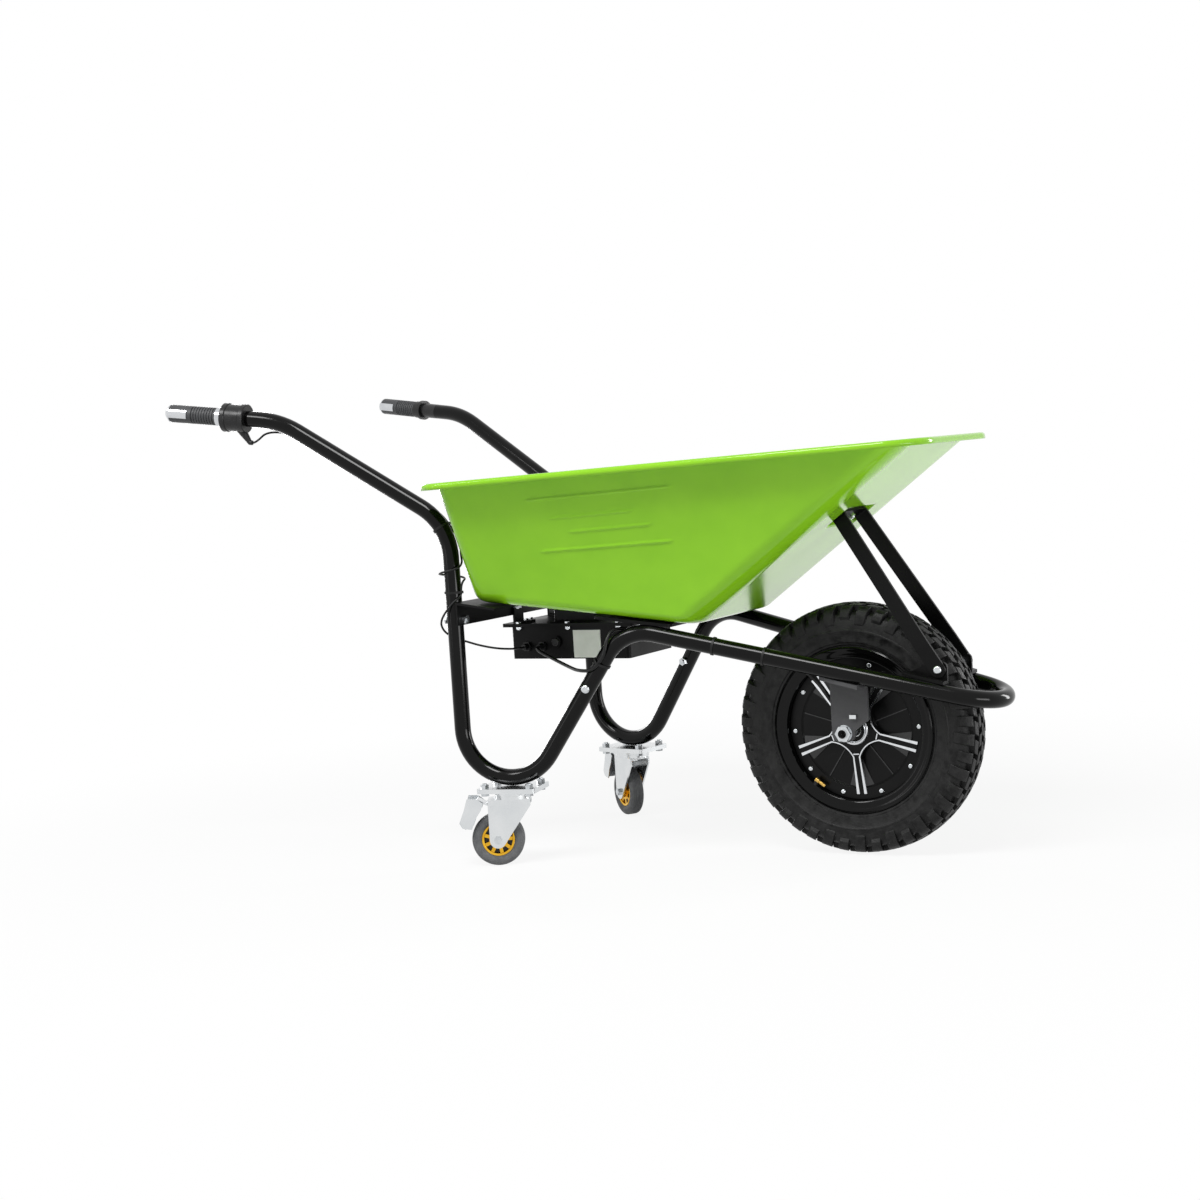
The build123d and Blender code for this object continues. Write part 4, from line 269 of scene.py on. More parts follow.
# %% [markdown]
# ## Pressed tray
# The real tray is one sheet of steel, pressed into a trough with soft corners, a rolled rim and shallow
# lines in its long sides. It could be a box with bevelled edges, but then its slopes and its corner
# radii would be hard to set. A sheet is a surface, so this one is laid out as rings of points: a
# rounded outline on the tilted floor, a larger one on the tilted rim, and straight lines between them.

# %% Tray sizes
# Millimetres. Heights are those of the two tilted planes at the axle, and lengths run back from it.
FLOOR_TILT = radians(8)
RIM_TILT = radians(-2)
FLOOR_Z = 365.791
RIM_Z = 678
SHEET = 2
SIDE_Y = 109
SIDE_SLOPE = tan(radians(11))
FLOOR_REAR = 608
FLOOR_FRONT = 220
FLOOR_OVERHANG = 11
FLOOR_REAR_R = 30
FLOOR_FRONT_R = 55
RIM_REAR = 617
RIM_OVERHANG = 87
RIM_REAR_R = 22
RIM_FRONT_R = 60
RIM_FLANGE = 24
RIM_LIP = 9
FRONT_WALL = radians(36.4)
WALL_BASE_Z = FLOOR_Z + FLOOR_FRONT * (tan(FLOOR_TILT) + tan(FRONT_WALL))
WALL_FRONT = (RIM_Z - WALL_BASE_Z) / (tan(FRONT_WALL) + tan(RIM_TILT))
print("front wall meets the rim", round(WALL_FRONT), "mm ahead of the axle")

# %% Outline of the tray
LONG_STEPS = 120
SHORT_STEPS = 96
CORNER_STEPS = 14


def outline(tilt, rear, front, overhang, rear_r, front_r):
    """Rounded outline of a tray section on its own tilted plane, as flat points in millimetres."""
    rear_half = SIDE_Y + rear * SIDE_SLOPE + overhang
    front_half = SIDE_Y + front * SIDE_SLOPE + overhang
    back, nose = -rear / cos(tilt), -front / cos(tilt)
    corners = [
        Vector((back, -rear_half)), Vector((nose, -front_half)),
        Vector((nose, front_half)), Vector((back, rear_half)),
    ]
    radii = [rear_r, front_r, front_r, rear_r]
    arcs = []
    for index, corner in enumerate(corners):
        before = (corners[index - 1] - corner).normalized()
        after = (corners[(index + 1) % 4] - corner).normalized()
        half = before.angle(after) / 2
        middle = corner + (before + after).normalized() * radii[index] / sin(half)
        start = corner + before * radii[index] / tan(half) - middle
        turns = [(pi - 2 * half) * step / CORNER_STEPS for step in range(CORNER_STEPS + 1)]
        arcs.append([middle + Matrix.Rotation(turn, 2) @ start for turn in turns])
    points = []
    for index, arc in enumerate(arcs):
        following = arcs[(index + 1) % 4][0]
        steps = LONG_STEPS if index % 2 == 0 else SHORT_STEPS
        points += arc
        points += [arc[-1].lerp(following, step / steps) for step in range(1, steps)]
    return points


def on_plane(points, tilt, height, rise):
    """Flat points put on a plane that falls to the front by a tilt, in metres from the origin."""
    along = Vector((cos(tilt), 0, -sin(tilt)))
    out = Vector((sin(tilt), 0, cos(tilt)))
    base = Vector((AXLE.x, 0, height * MM))
    return [base + (along * p.x + Vector((0, p.y, 0)) + out * rise) * MM for p in points]


def floor_ring(inset):
    """Ring on top of the floor."""
    flat = outline(
        FLOOR_TILT, FLOOR_REAR - inset, FLOOR_FRONT + inset, FLOOR_OVERHANG - inset,
        FLOOR_REAR_R - inset, FLOOR_FRONT_R - inset,
    )
    return on_plane(flat, FLOOR_TILT, FLOOR_Z, SHEET)


def rim_ring(inset, rise=0):
    """Ring at the rim; a negative inset lies out on the flange."""
    flat = outline(
        RIM_TILT, RIM_REAR - inset, inset - WALL_FRONT, RIM_OVERHANG - inset,
        RIM_REAR_R - inset, RIM_FRONT_R - inset,
    )
    return on_plane(flat, RIM_TILT, RIM_Z, rise)


floor_edge = floor_ring(SHEET)
rim_edge = rim_ring(SHEET)
count = len(floor_edge)
print("points in a ring", count)

# %% [markdown]
# ## Pressed lines and pocket
# A press leaves shallow lines in the long sides, which stiffen them, and a flat pocket in the front
# wall where the brace is bolted. A bump map could suggest them, but the rim of each line would then be
# missing from a low view. The sheet has enough points to be pushed, so two functions say how far.

# %% Pressed lines and pocket
# Each line is a start and an end in millimetres ahead of the axle and above the ground.
PRESSED = [
    ((-455, 622), (-222, 632)), ((-452, 535), (-232, 543)),
    ((-425, 590), (-290, 596)), ((-395, 566), (-262, 572)),
]
PRESS_HALF = 3
PRESS_RISE = 2.4
# The pocket has a middle, half sizes and a soft edge.
POCKET_SPOT = (-2.6, 569.4)
POCKET_LEAN = radians(33)
POCKET_HALF_L = 56
POCKET_HALF_H = 21
POCKET_EDGE = 9
POCKET_DEPTH = 12


def press_height(x, z):
    """How far the sheet is pushed out at a spot on a long side, in millimetres."""
    rise = 0
    for start, end in PRESSED:
        a, b = Vector(start), Vector(end)
        share = min(1, max(0, (Vector((x, z)) - a).dot(b - a) / (b - a).length_squared))
        away = (Vector((x, z)) - a.lerp(b, share)).length / PRESS_HALF
        if away < 1:
            rise = max(rise, (1 - away * away) ** 2)
    return rise * PRESS_RISE


def soft_step(value, edge):
    """One well inside an edge, nought outside it, and a smooth slope between."""
    share = min(1, max(0, value / edge))
    return share * share * (3 - 2 * share)


def pocket_push(x, y, z):
    """How far the front wall is pushed in at a spot, in millimetres."""
    across = POCKET_HALF_L + POCKET_EDGE / 2 - abs(y)
    up_wall = (x - POCKET_SPOT[0]) * cos(POCKET_LEAN) + (z - POCKET_SPOT[1]) * sin(POCKET_LEAN)
    height = POCKET_HALF_H + POCKET_EDGE / 2 - abs(up_wall)
    return POCKET_DEPTH * soft_step(across, POCKET_EDGE) * soft_step(height, POCKET_EDGE)


print("depth in the middle of the pocket", pocket_push(POCKET_SPOT[0], 0, POCKET_SPOT[1]))

# %% [markdown]
# ## Foot, walls and rim
# Between floor and wall the real sheet bends through a soft radius, and at the top it rolls out into a
# flange with a lip. The Bevel modifier rounds an edge, but here the angle changes all the way round. So
# every column of points gets its own arc, a rational curve that meets the floor and the wall. Two
# helpers then make an object from points and tie it to a body and to the solids that it stands for, and
# the Solidify modifier gives the surface its two millimetres.

# %% Foot and walls
FOOT_R = 26
FOOT_STEPS = 9
WALL_STEPS = 140
# An edge counts as straight along an axis above this share of its length.
STRAIGHT = 0.9
# The front wall's foot is nearer behind the axle than this many metres, and the rear wall's is not.
FRONT_FOOT = 0.3

floor_up = Vector((sin(FLOOR_TILT), 0, cos(FLOOR_TILT)))
foot_rings = [[None] * count for _ in range(FOOT_STEPS + 1)]
wall_rings = [[None] * count for _ in range(WALL_STEPS)]
for column in range(count):
    foot, top = floor_edge[column], rim_edge[column]
    tangent = (floor_edge[(column + 1) % count] - floor_edge[column - 1]).normalized()
    inward = floor_up.cross(tangent).normalized()
    rise = (top - foot).normalized()
    half = inward.angle(rise) / 2
    reach = FOOT_R * MM / tan(half)
    for step in range(FOOT_STEPS + 1):
        share = step / FOOT_STEPS
        weights = ((1 - share) ** 2, 2 * sin(half) * share * (1 - share), share**2)
        spots = (foot + inward * reach, foot, foot + rise * reach)
        foot_rings[step][column] = sum((s * w for s, w in zip(spots, weights)), Vector()) / sum(weights)
    outward = tangent.cross(rise).normalized()
    long_side = abs(tangent.x) > STRAIGHT
    front_side = abs(tangent.y) > STRAIGHT and foot.x > AXLE.x - FRONT_FOOT
    for step in range(WALL_STEPS):
        spot = (foot + rise * reach).lerp(top, (step + 1) / (WALL_STEPS + 1))
        x, y, z = (spot.x - AXLE.x) / MM, spot.y / MM, spot.z / MM
        push = press_height(x, z) if long_side else 0
        if front_side:
            push -= pocket_push(x, y, z)
        wall_rings[step][column] = spot + outward * push * MM
print("rings in the walls", len(foot_rings) + len(wall_rings))


# %% Two helpers for pieces
def make_object(name, points, faces, smooth=True):
    """Mesh object from points in metres."""
    mesh = bpy.data.meshes.new(name)
    mesh.from_pydata([tuple(p) for p in points], [], faces)
    mesh.update()
    for face in mesh.polygons:
        face.use_smooth = smooth
    piece = bpy.data.objects.new(name, mesh)
    scene.collection.objects.link(piece)
    return piece


def place_piece(piece, material, body, slot, *stands_for):
    """Finish a piece: its material, the body that carries it and the solids it stands for; the slot is not used.
    """
    piece.data.materials.append(material)
    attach(piece, body)
    if stands_for:
        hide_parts(*stands_for)
    return piece


# %% Flange and sheet
ROLL_R = 4
ROLL_STEPS = 5


def bands(rings):
    """Faces between closed rings of equal length; the rings follow one another in one list of points."""
    count = len(rings[0])
    faces = []
    for row in range(len(rings) - 1):
        for column in range(count):
            after = (column + 1) % count
            a, b = row * count + column, row * count + after
            faces.append((a, b, b + count, a + count))
    return faces


quarter = [pi / 2 * step / ROLL_STEPS for step in range(ROLL_STEPS + 1)]
roll_rings = [rim_ring(SHEET - ROLL_R * (1 - cos(turn)), ROLL_R * (sin(turn) - 1)) for turn in quarter]
roll_rings += [
    rim_ring(ROLL_R - RIM_FLANGE - ROLL_R * sin(turn), ROLL_R * (cos(turn) - 1)) for turn in quarter
]
roll_rings.append(rim_ring(-RIM_FLANGE, -RIM_LIP))
sheet_rings = foot_rings + wall_rings + roll_rings
sheet_points = [point for ring in sheet_rings for point in ring]
sheet_faces = bands(sheet_rings) + [tuple(reversed(range(count)))]
pressed_tray = make_object("pressed_tray", sheet_points, sheet_faces)
thickness = pressed_tray.modifiers.new("sheet", "SOLIDIFY")
thickness.thickness = SHEET * MM
thickness.offset = -1
place_piece(pressed_tray, lime_powder_coat, "frame", "tray_green", "tray")
print("tray points", len(sheet_points))

# %% [markdown]
# ## Cables
# The throttle cable comes out of its boot, joins the handle, winds round the leg and dips into the box.
# The motor cable leaves the box, lies along the frame and enters the end of the axle. A cable could be
# a bent cylinder, but a curve keeps its thickness all the way and can be changed point by point. A
# NURBS curve rounds off the route between its points, and a round bevel makes the sheath.

# %% Routes of the cables
# Metres, from the end at which each cable leaves the object to the end at which it goes back in.
THROTTLE_ROUTE = [
    (-0.5462, -0.3016, 0.7458), (-0.5404, -0.3005, 0.7451), (-0.5269, -0.2774, 0.7670),
    (-0.4421, -0.2649, 0.7461), (-0.2435, -0.2257, 0.6182), (-0.2264, -0.2225, 0.6107),
    (-0.2102, -0.2226, 0.5994), (-0.1908, -0.2222, 0.5729), (-0.1781, -0.2230, 0.5501),
    (-0.1785, -0.2260, 0.5355), (-0.1761, -0.2256, 0.5185), (-0.1718, -0.2477, 0.5105),
    (-0.2112, -0.2553, 0.5035), (-0.2183, -0.2189, 0.4985), (-0.1789, -0.2113, 0.4935),
    (-0.1748, -0.2324, 0.4865), (-0.1769, -0.2339, 0.4765), (-0.1768, -0.2349, 0.4625),
    (-0.1833, -0.2520, 0.4545), (-0.2116, -0.2534, 0.4235), (-0.2167, -0.2375, 0.4035),
    (-0.2114, -0.2176, 0.3905), (-0.1882, -0.2121, 0.3825), (-0.1733, -0.1904, 0.3725),
    (-0.1535, -0.1651, 0.3640), (-0.1455, -0.1181, 0.3580), (-0.1455, -0.0950, 0.3580),
]
MOTOR_ROUTE = [
    (-0.1145, -0.0950, 0.3580), (-0.1145, -0.1110, 0.3580), (-0.0665, -0.1270, 0.3410),
    (-0.0225, -0.1531, 0.3310), (0.0155, -0.1871, 0.3280), (0.0534, -0.2054, 0.3305),
    (0.0722, -0.1998, 0.3523), (0.0765, -0.1983, 0.3659), (0.0782, -0.1938, 0.3837),
    (0.0823, -0.1773, 0.3978), (0.0976, -0.1602, 0.3957), (0.1176, -0.1542, 0.3895),
    (0.1564, -0.1466, 0.3855), (0.3704, -0.1050, 0.3351), (0.3985, -0.0770, 0.3020),
    (0.4227, -0.0530, 0.2528), (0.4406, -0.0530, 0.2176),
]
print("route points", len(THROTTLE_ROUTE), len(MOTOR_ROUTE))

# %% Cables
THROTTLE_LEAD_MM = 3.6
MOTOR_LEAD_MM = 6
ROUND_STEPS = 5
BEND_STEPS = 10


def lead(name, route, diameter_mm, node):
    """Round cable along a route, attached to the frame in place of its solid."""
    curve = bpy.data.curves.new(name, "CURVE")
    curve.dimensions = "3D"
    curve.bevel_depth = diameter_mm / 2 * MM
    curve.bevel_resolution = ROUND_STEPS
    curve.resolution_u = BEND_STEPS
    curve.use_fill_caps = True
    line = curve.splines.new("NURBS")
    line.points.add(len(route) - 1)
    for spot, point in zip(route, line.points):
        point.co = (*spot, 1)
    line.order_u = 3
    line.use_endpoint_u = True
    piece = bpy.data.objects.new(name, curve)
    scene.collection.objects.link(piece)
    place_piece(piece, pvc_sheath, "frame", "cable_black", node)


lead("throttle_lead", THROTTLE_ROUTE, THROTTLE_LEAD_MM, "throttle_cable")
lead("motor_lead", MOTOR_ROUTE, MOTOR_LEAD_MM, "motor_cable")

# %% [markdown]
# ## Tyre carcass
# The tyre is a round rubber carcass with separate blocks moulded on it. A Screw modifier could turn the
# carcass from a profile. A small function does it here instead, because it also turns the rim, the hub,
# the caster wheels and the grips, each about its own axis, and leaves closed meshes with crisp edges.
# The carcass lies well below the tops of the blocks, so the grooves are deep and dark.


# %% Turning a profile
def face_out(piece, sharp_angle=35):
    """Turn a closed mesh's faces outwards and keep its edges crisp above an angle."""
    shell = bmesh.new()
    shell.from_mesh(piece.data)
    bmesh.ops.recalc_face_normals(shell, faces=shell.faces[:])
    shell.to_mesh(piece.data)
    shell.free()
    piece.data.set_sharp_from_angle(angle=radians(sharp_angle))


def turned(name, profile, centre, axis, steps):
    """Closed profile of (along, radius) pairs in millimetres, turned about an axis."""
    along = Vector(axis).normalized()
    first = along.orthogonal().normalized()
    second = along.cross(first)
    rings = []
    for step in range(steps):
        out = first * cos(2 * pi * step / steps) + second * sin(2 * pi * step / steps)
        rings.append([centre + (along * spot + out * radius) * MM for spot, radius in profile])
    points = [point for ring in rings for point in ring]
    faces = [tuple(i % len(points) for i in face) for face in bands(rings + rings[:1])]
    piece = make_object(name, points, faces)
    face_out(piece)
    return piece


def mirrored(half):
    """The other half of a profile, in the order that closes it."""
    return [(-along, radius) for along, radius in reversed(half)]


# %% Tyre carcass
TYRE_STEPS = 144
WHEEL_AXIS = (0, 1, 0)
# Half profiles, across and radius in millimetres: the outside from bead to tread, then the inside.
CARCASS = [
    (31.7, 127.3), (31.7, 140.2), (34.4, 142), (35.2, 145), (37.2, 146.4), (38, 149.5), (37.8, 152),
    (39.6, 158), (40.2, 164), (41, 165), (41, 167), (40.2, 168), (40, 176), (38.6, 184), (36, 190.5),
    (32, 195), (26, 197.6), (18, 199), (8, 199.8), (0, 200),
]
LINING = [(0, 193), (18, 192), (28, 187), (34, 174), (33, 158), (26, 144), (22, 138), (22, 127.3)]
carcass_profile = CARCASS + mirrored(CARCASS[:-1]) + mirrored(LINING) + LINING[1:]
tyre_carcass = turned("tyre_carcass", carcass_profile, AXLE, WHEEL_AXIS, TYRE_STEPS)
place_piece(tyre_carcass, tyre_rubber, "drive_wheel", "tyre_rubber", "tyre")
print("carcass points", len(tyre_carcass.data.vertices))

# %% [markdown]
# ## Tread blocks
# Long and short lugs take turns on the shoulders and run down the sidewall. Between them lie two rows
# of slanted blocks on each side of the middle. The blocks could be cut into the carcass, but they are
# simple bodies that stand on it. One function lays out a block in angle and in distance across the
# tread, and the rows only differ in numbers. A small bevel wears the edges.

# %% One block
# Tops of the blocks, from the middle of the tread out and down the sidewall, and then their feet.
CROWN = [
    (0, 210), (10, 209.4), (20, 208), (28, 206.4), (34.5, 204), (39, 199.5), (41.2, 193), (42, 185),
    (41.4, 176),
]
FOOTING = [
    (0, 198), (10, 197.6), (20, 197), (28, 195), (32, 192), (35, 188), (37, 184), (38.6, 179), (39, 174),
]
# A block's foot is wider than its top by this share, as a mould needs it.
DRAFT = 0.14


def on_wheel(across, radius, turn):
    """Point of the drive wheel in metres: across is along the axle, turn goes round it."""
    return AXLE + Vector((radius * cos(turn), across, radius * sin(turn))) * MM


def along_line(line, spot):
    """Point at a share of the way along a list of points, counted in segments."""
    index = min(int(spot), len(line) - 2)
    (y0, r0), (y1, r1) = line[index], line[index + 1]
    share = spot - index
    return y0 + (y1 - y0) * share, r0 + (r1 - r0) * share


def tread_block(points, faces, side, turn, width, slant, start, end, steps):
    """Block on the tread. Its width is in degrees and its slant in degrees per segment of the crown."""
    base = len(points)
    for level, line in enumerate((FOOTING, CROWN)):
        for step in range(steps + 1):
            spot = start + (end - start) * step / steps
            y, r = along_line(line, spot)
            grow = width / 2 * (1 + DRAFT * (1 - level))
            centre = turn + slant * (spot - start)
            for edge in (-1, 1):
                points.append(on_wheel(side * y, r, radians(centre + edge * grow)))
    row = 2 * (steps + 1)
    for step in range(steps):
        low, high = base + 2 * step, base + row + 2 * step
        faces.append((high, high + 1, high + 3, high + 2))
        faces.append((low, low + 2, low + 3, low + 1))
        faces.append((low, high, high + 2, low + 2))
        faces.append((low + 1, low + 3, high + 3, high + 1))
    faces.append((base, base + 1, base + row + 1, base + row))
    last = base + row - 2
    faces.append((last, last + row, last + row + 1, last + 1))


# %% All blocks
LUGS = 42
# Width, slant, start and end on the crown line, and steps between them.
LONG_LUG = (5.2, 0.3, 2.9, 7.9, 6)
SHORT_LUG = (4.8, 0.3, 2.9, 6.5, 6)
OUTER_BLOCK = (6.0, 1.2, 1.25, 2.55, 3)
MIDDLE_BLOCK = (5.4, -1.4, 0.12, 1.0, 2)
WORN_MM = 0.8

block_points, block_faces = [], []
pitch = 360 / LUGS
for side in (-1, 1):
    for index in range(LUGS):
        turn = index * pitch + (0 if side > 0 else pitch / 2)
        lug = LONG_LUG if index % 2 else SHORT_LUG
        tread_block(block_points, block_faces, side, turn, *lug)
        tread_block(block_points, block_faces, side, turn + pitch / 2, *OUTER_BLOCK)
        tread_block(block_points, block_faces, side, turn, *MIDDLE_BLOCK)
tread_blocks = make_object("tread_blocks", block_points, block_faces)
face_out(tread_blocks, sharp_angle=25)
edges = tread_blocks.modifiers.new("worn_edges", "BEVEL")
edges.width = WORN_MM * MM
edges.segments = 2
edges.limit_method = "ANGLE"
edges.angle_limit = radians(35)
place_piece(tread_blocks, tyre_rubber, "drive_wheel", "tyre_rubber", "tyre")
print("tread faces", len(block_faces))

# %% [markdown]
# ## Rim and valve
# The rim's edge rolls over in a soft lip that draws bright arcs, and a hollow runs between the lip and
# the motor's cover. The valve comes out of the rim and turns along it, so that a pump reaches it beside
# the motor. A torus could make the lip and cylinders the valve, but their steps and grooves would be
# missing. All are round, so a turned profile gives each of them with few points.

# %% Rolled rim
HALF_RIM = [
    (31.6, 127), (31.6, 133), (32.2, 136.4), (34, 138.6), (36.2, 138.6), (37.6, 136.8), (37.6, 134.4),
    (36.2, 132), (35.2, 128.6), (35.4, 125), (35, 122.2), (33.4, 120), (30.6, 119.2), (21.4, 119),
    (15.7, 119), (15.7, 104.2),
]
rolled_rim = turned("rolled_rim", HALF_RIM + mirrored(HALF_RIM), AXLE, WHEEL_AXIS, TYRE_STEPS)
place_piece(rolled_rim, black_enamel, "drive_wheel", "hub_black", "hub_shell")
print("rim profile points", 2 * len(HALF_RIM))

# %% Bent valve
VALVE_TURN = radians(234)
VALVE_RADIUS = 112
VALVE_DEPTH = 30
VALVE_STEPS = 32
VALVE_STEM = [(-10, 0.3), (-10, 4.4), (-3, 4.4), (-2, 3.2), (9, 3.2), (10, 2.4), (10, 0.3)]
VALVE_ROOT = [(-1, 0.3), (-1, 4.2), (13, 4.2), (13, 0.3)]
ROOT_BACK = 6
valve_out = Vector((cos(VALVE_TURN), 0, sin(VALVE_TURN)))
valve_way = Vector((-sin(VALVE_TURN), 0, cos(VALVE_TURN)))
valve_spot = AXLE + (valve_out * VALVE_RADIUS + Vector((0, -VALVE_DEPTH, 0))) * MM
root_spot = valve_spot - valve_way * ROOT_BACK * MM
bent_valve = turned("bent_valve", VALVE_STEM, valve_spot, valve_way, VALVE_STEPS)
place_piece(bent_valve, turned_brass, "drive_wheel", "brass", "valve_stem")
valve_root = turned("valve_root", VALVE_ROOT, root_spot, valve_out, VALVE_STEPS)
place_piece(valve_root, tyre_rubber, "drive_wheel", "tyre_rubber", "valve_stem")
print("valve at", tuple(round(v, 3) for v in valve_spot))

# %% [markdown]
# ## Cover of the hub
# The motor's right cover is a black casting with a five-armed star that rises towards the axle. Its
# disc is turned from a profile, and so is the bright ring round the boss. The axle's end is drilled for
# the motor cable. A hole could be cut into the solid axle, but the solids stay as they are, so a
# shallow black disc inside the nut stands for the hole: it is painted shade.

# %% Cover disc, boss ring and painted shade in the axle's end
# Profiles are depths out from the wheel's middle, and radii.
RIGHT_AXIS = (0, -1, 0)
PANEL_Y = 18.2
COVER_PROFILE = [
    (16, 118.7), (20.6, 118.7), (21, 118.2), (21, 99.4), (20.4, 98.8), (19.6, 98.8), (19, 98.2), (19, 97),
    (PANEL_Y, 96.2), (PANEL_Y, 36), (26, 31), (31, 27), (31, 12.6), (16, 12.6),
]
BOSS_RING = [
    (29, 25.6), (34.6, 25.6), (36, 24.6), (36.6, 22.6), (36, 20.4), (34.6, 19), (33, 18.6), (29, 18.6),
]
AXLE_END = 83.3
MOUTH_LIP = AXLE_END + 0.5
MOUTH_BACK = AXLE_END - 0.4
MOUTH = [
    (MOUTH_BACK, 7.4), (MOUTH_LIP, 7.2), (MOUTH_LIP, 6.2), (AXLE_END, 5.6), (AXLE_END, 0.2),
    (MOUTH_BACK, 0.2),
]
star_cover = turned("star_cover", COVER_PROFILE, AXLE, RIGHT_AXIS, steps=120)
place_piece(star_cover, cast_black, "drive_wheel", "hub_black", "hub_cover_right")
boss_ring = turned("boss_ring", BOSS_RING, AXLE, RIGHT_AXIS, steps=96)
place_piece(boss_ring, polished_chrome, "drive_wheel", "silver_cap", "hub_cover_right")
# A shallow black disc in the end of the axle is painted shade, standing for its drilled hole.
axle_hole_shade = turned("axle_hole_shade", MOUTH, AXLE, RIGHT_AXIS, steps=40)
place_piece(axle_hole_shade, cast_black, "frame", "black_plastic")
print("cover points", len(star_cover.data.vertices))

# %% [markdown]
# ## Star on the hub
# The star's five arms widen a little towards their ends and meet in smooth hollows round the boss. It
# could be cut from a cylinder with Booleans, but their meshes shade badly. So the star is laid out
# flat, as arms and a ring of points, and then lifted by a depth that depends on the radius.

# %% Star outline
ARMS = 5
ARM_TURN = radians(56.7)
ARM_END_R = 109
ARM_ROOT_R = 46
ARM_STEPS = 8
ARM_RADII = [ARM_END_R + (ARM_ROOT_R - ARM_END_R) * step / ARM_STEPS for step in range(ARM_STEPS + 1)]
# An arm's half width at the top of the star, and how much it gains over a length further out.
STAR_TOP_R = 34
ARM_HALF = 5
ARM_FLARE = 1.6
FLARE_LENGTH = 78
# The curve between two arms is pulled towards a point at this radius.
HOLLOW_PULL = 27
HOLLOW_STEPS = 12


def arm_turn(index):
    """Angle of an arm."""
    return ARM_TURN + index * 2 * pi / ARMS


def arm_edge(turn, side, radius):
    """Spot on the edge of an arm."""
    half = ARM_HALF + ARM_FLARE * (radius - STAR_TOP_R) / FLARE_LENGTH
    along, aside = radius, side * half
    return Vector((along * cos(turn) - aside * sin(turn), along * sin(turn) + aside * cos(turn)))


def hollow(index):
    """Curve from the root of one arm round the boss to the root of the next."""
    start = arm_edge(arm_turn(index), 1, ARM_ROOT_R)
    end = arm_edge(arm_turn(index + 1), -1, ARM_ROOT_R)
    middle = (arm_turn(index) + arm_turn(index + 1)) / 2
    pull = Vector((cos(middle), sin(middle))) * HOLLOW_PULL
    shares = [step / HOLLOW_STEPS for step in range(HOLLOW_STEPS + 1)]
    return [start * (1 - t) ** 2 + pull * 2 * t * (1 - t) + end * t**2 for t in shares]


print("points in a hollow", len(hollow(0)))

# %% Star plate
STAR_END_Y = 23
STAR_RISE = 9.5
STAR_INNER_R = 24
PLATE_BACK = PANEL_Y - 0.5


def star_depth(radius):
    """Depth of the star's face at a radius: it rises from the ends of the arms to the boss."""
    share = min(1, max(0, (ARM_END_R - radius) / (ARM_END_R - STAR_TOP_R)))
    return STAR_END_Y + STAR_RISE * share


def on_cover(spot, depth):
    """Point on the right cover from flat coordinates and a depth out from the wheel's middle."""
    return AXLE + Vector((spot.x, -depth, spot.y)) * MM


def plate(name, spots, depths, faces):
    """Solid plate on the cover: flat faces lifted to their depths, closed by a flat back and walls."""
    count = len(spots)
    points = [on_cover(spot, depth) for spot, depth in zip(spots, depths)]
    points += [on_cover(spot, PLATE_BACK) for spot in spots]
    sides = [(face[k], face[(k + 1) % len(face)]) for face in faces for k in range(len(face))]
    rim = [(a, b) for a, b in sides if (b, a) not in sides]
    shell = list(faces) + [tuple(i + count for i in reversed(face)) for face in faces]
    shell += [(b, a, a + count, b + count) for a, b in rim]
    piece = make_object(name, points, shell)
    face_out(piece, sharp_angle=20)
    return piece


star_spots, star_faces = [], []
for index in range(ARMS):
    turn = arm_turn(index)
    for radius in ARM_RADII:
        star_spots += [arm_edge(turn, -1, radius), arm_edge(turn, 1, radius)]
    start = len(star_spots) - 2 * len(ARM_RADII)
    corners = range(start, start + 2 * ARM_STEPS, 2)
    star_faces += [(a, a + 1, a + 3, a + 2) for a in corners]
ring_start = len(star_spots)
ring_spots = [spot for index in range(ARMS) for spot in hollow(index)]
for spot in ring_spots:
    star_spots += [spot, spot.normalized() * STAR_INNER_R]
for k in range(len(ring_spots)):
    a = ring_start + 2 * k
    b = ring_start + 2 * ((k + 1) % len(ring_spots))
    star_faces.append((a, b, b + 1, a + 1))
star_plate = plate("star_plate", star_spots, [star_depth(spot.length) for spot in star_spots], star_faces)
place_piece(star_plate, cast_black, "drive_wheel", "hub_black", "hub_cover_right")
print("star points", len(star_spots))

# %% [markdown]
# ## Facets
# Beside each arm the casting slopes down in a three-cornered facet, which catches a little light and
# keeps the black cover from looking flat. It could be part of the cover's mesh, but as a small plate of
# its own it takes a lighter black, which is painted light, and the function that closed the star closes
# it too.

# %% Facets beside the arms
FACET_ROOT_R = 52
FACET_END_R = 97
FACET_TIP_R = 94
FACET_SPREAD = 15
FACET_TOP = PANEL_Y + 3.4
FACET_FOOT = PANEL_Y + 0.4

facet_spots, facet_depths, facet_faces = [], [], []
for index in range(ARMS):
    for side in (-1, 1):
        turn = arm_turn(index)
        aside = Vector((-sin(turn), cos(turn))) * side
        tip = arm_edge(turn, side, FACET_TIP_R) + aside * FACET_SPREAD
        base = len(facet_spots)
        facet_spots += [arm_edge(turn, side, FACET_ROOT_R), arm_edge(turn, side, FACET_END_R), tip]
        facet_depths += [FACET_TOP, FACET_TOP, FACET_FOOT]
        facet_faces.append((base, base + 1, base + 2))
arm_facets = plate("arm_facets", facet_spots, facet_depths, facet_faces)
# The facets' lighter black is painted light.
place_piece(arm_facets, painted_lit_black, "drive_wheel", "hub_black", "hub_cover_right")
print("facets", len(facet_faces))

# %% [markdown]
# ## Bright edges
# A cutter has gone round the edges of the arms, so bright twin lines show between black faces. Painting
# them with a mask would need a picture. Each line is a ribbon with a flat top instead, which follows
# the edge from arm to arm and so stays sharp at any size. A short bar joins the two lines at the root
# of each arm.

# %% A ribbon along a path
RIBBON_BEVEL = 0.4


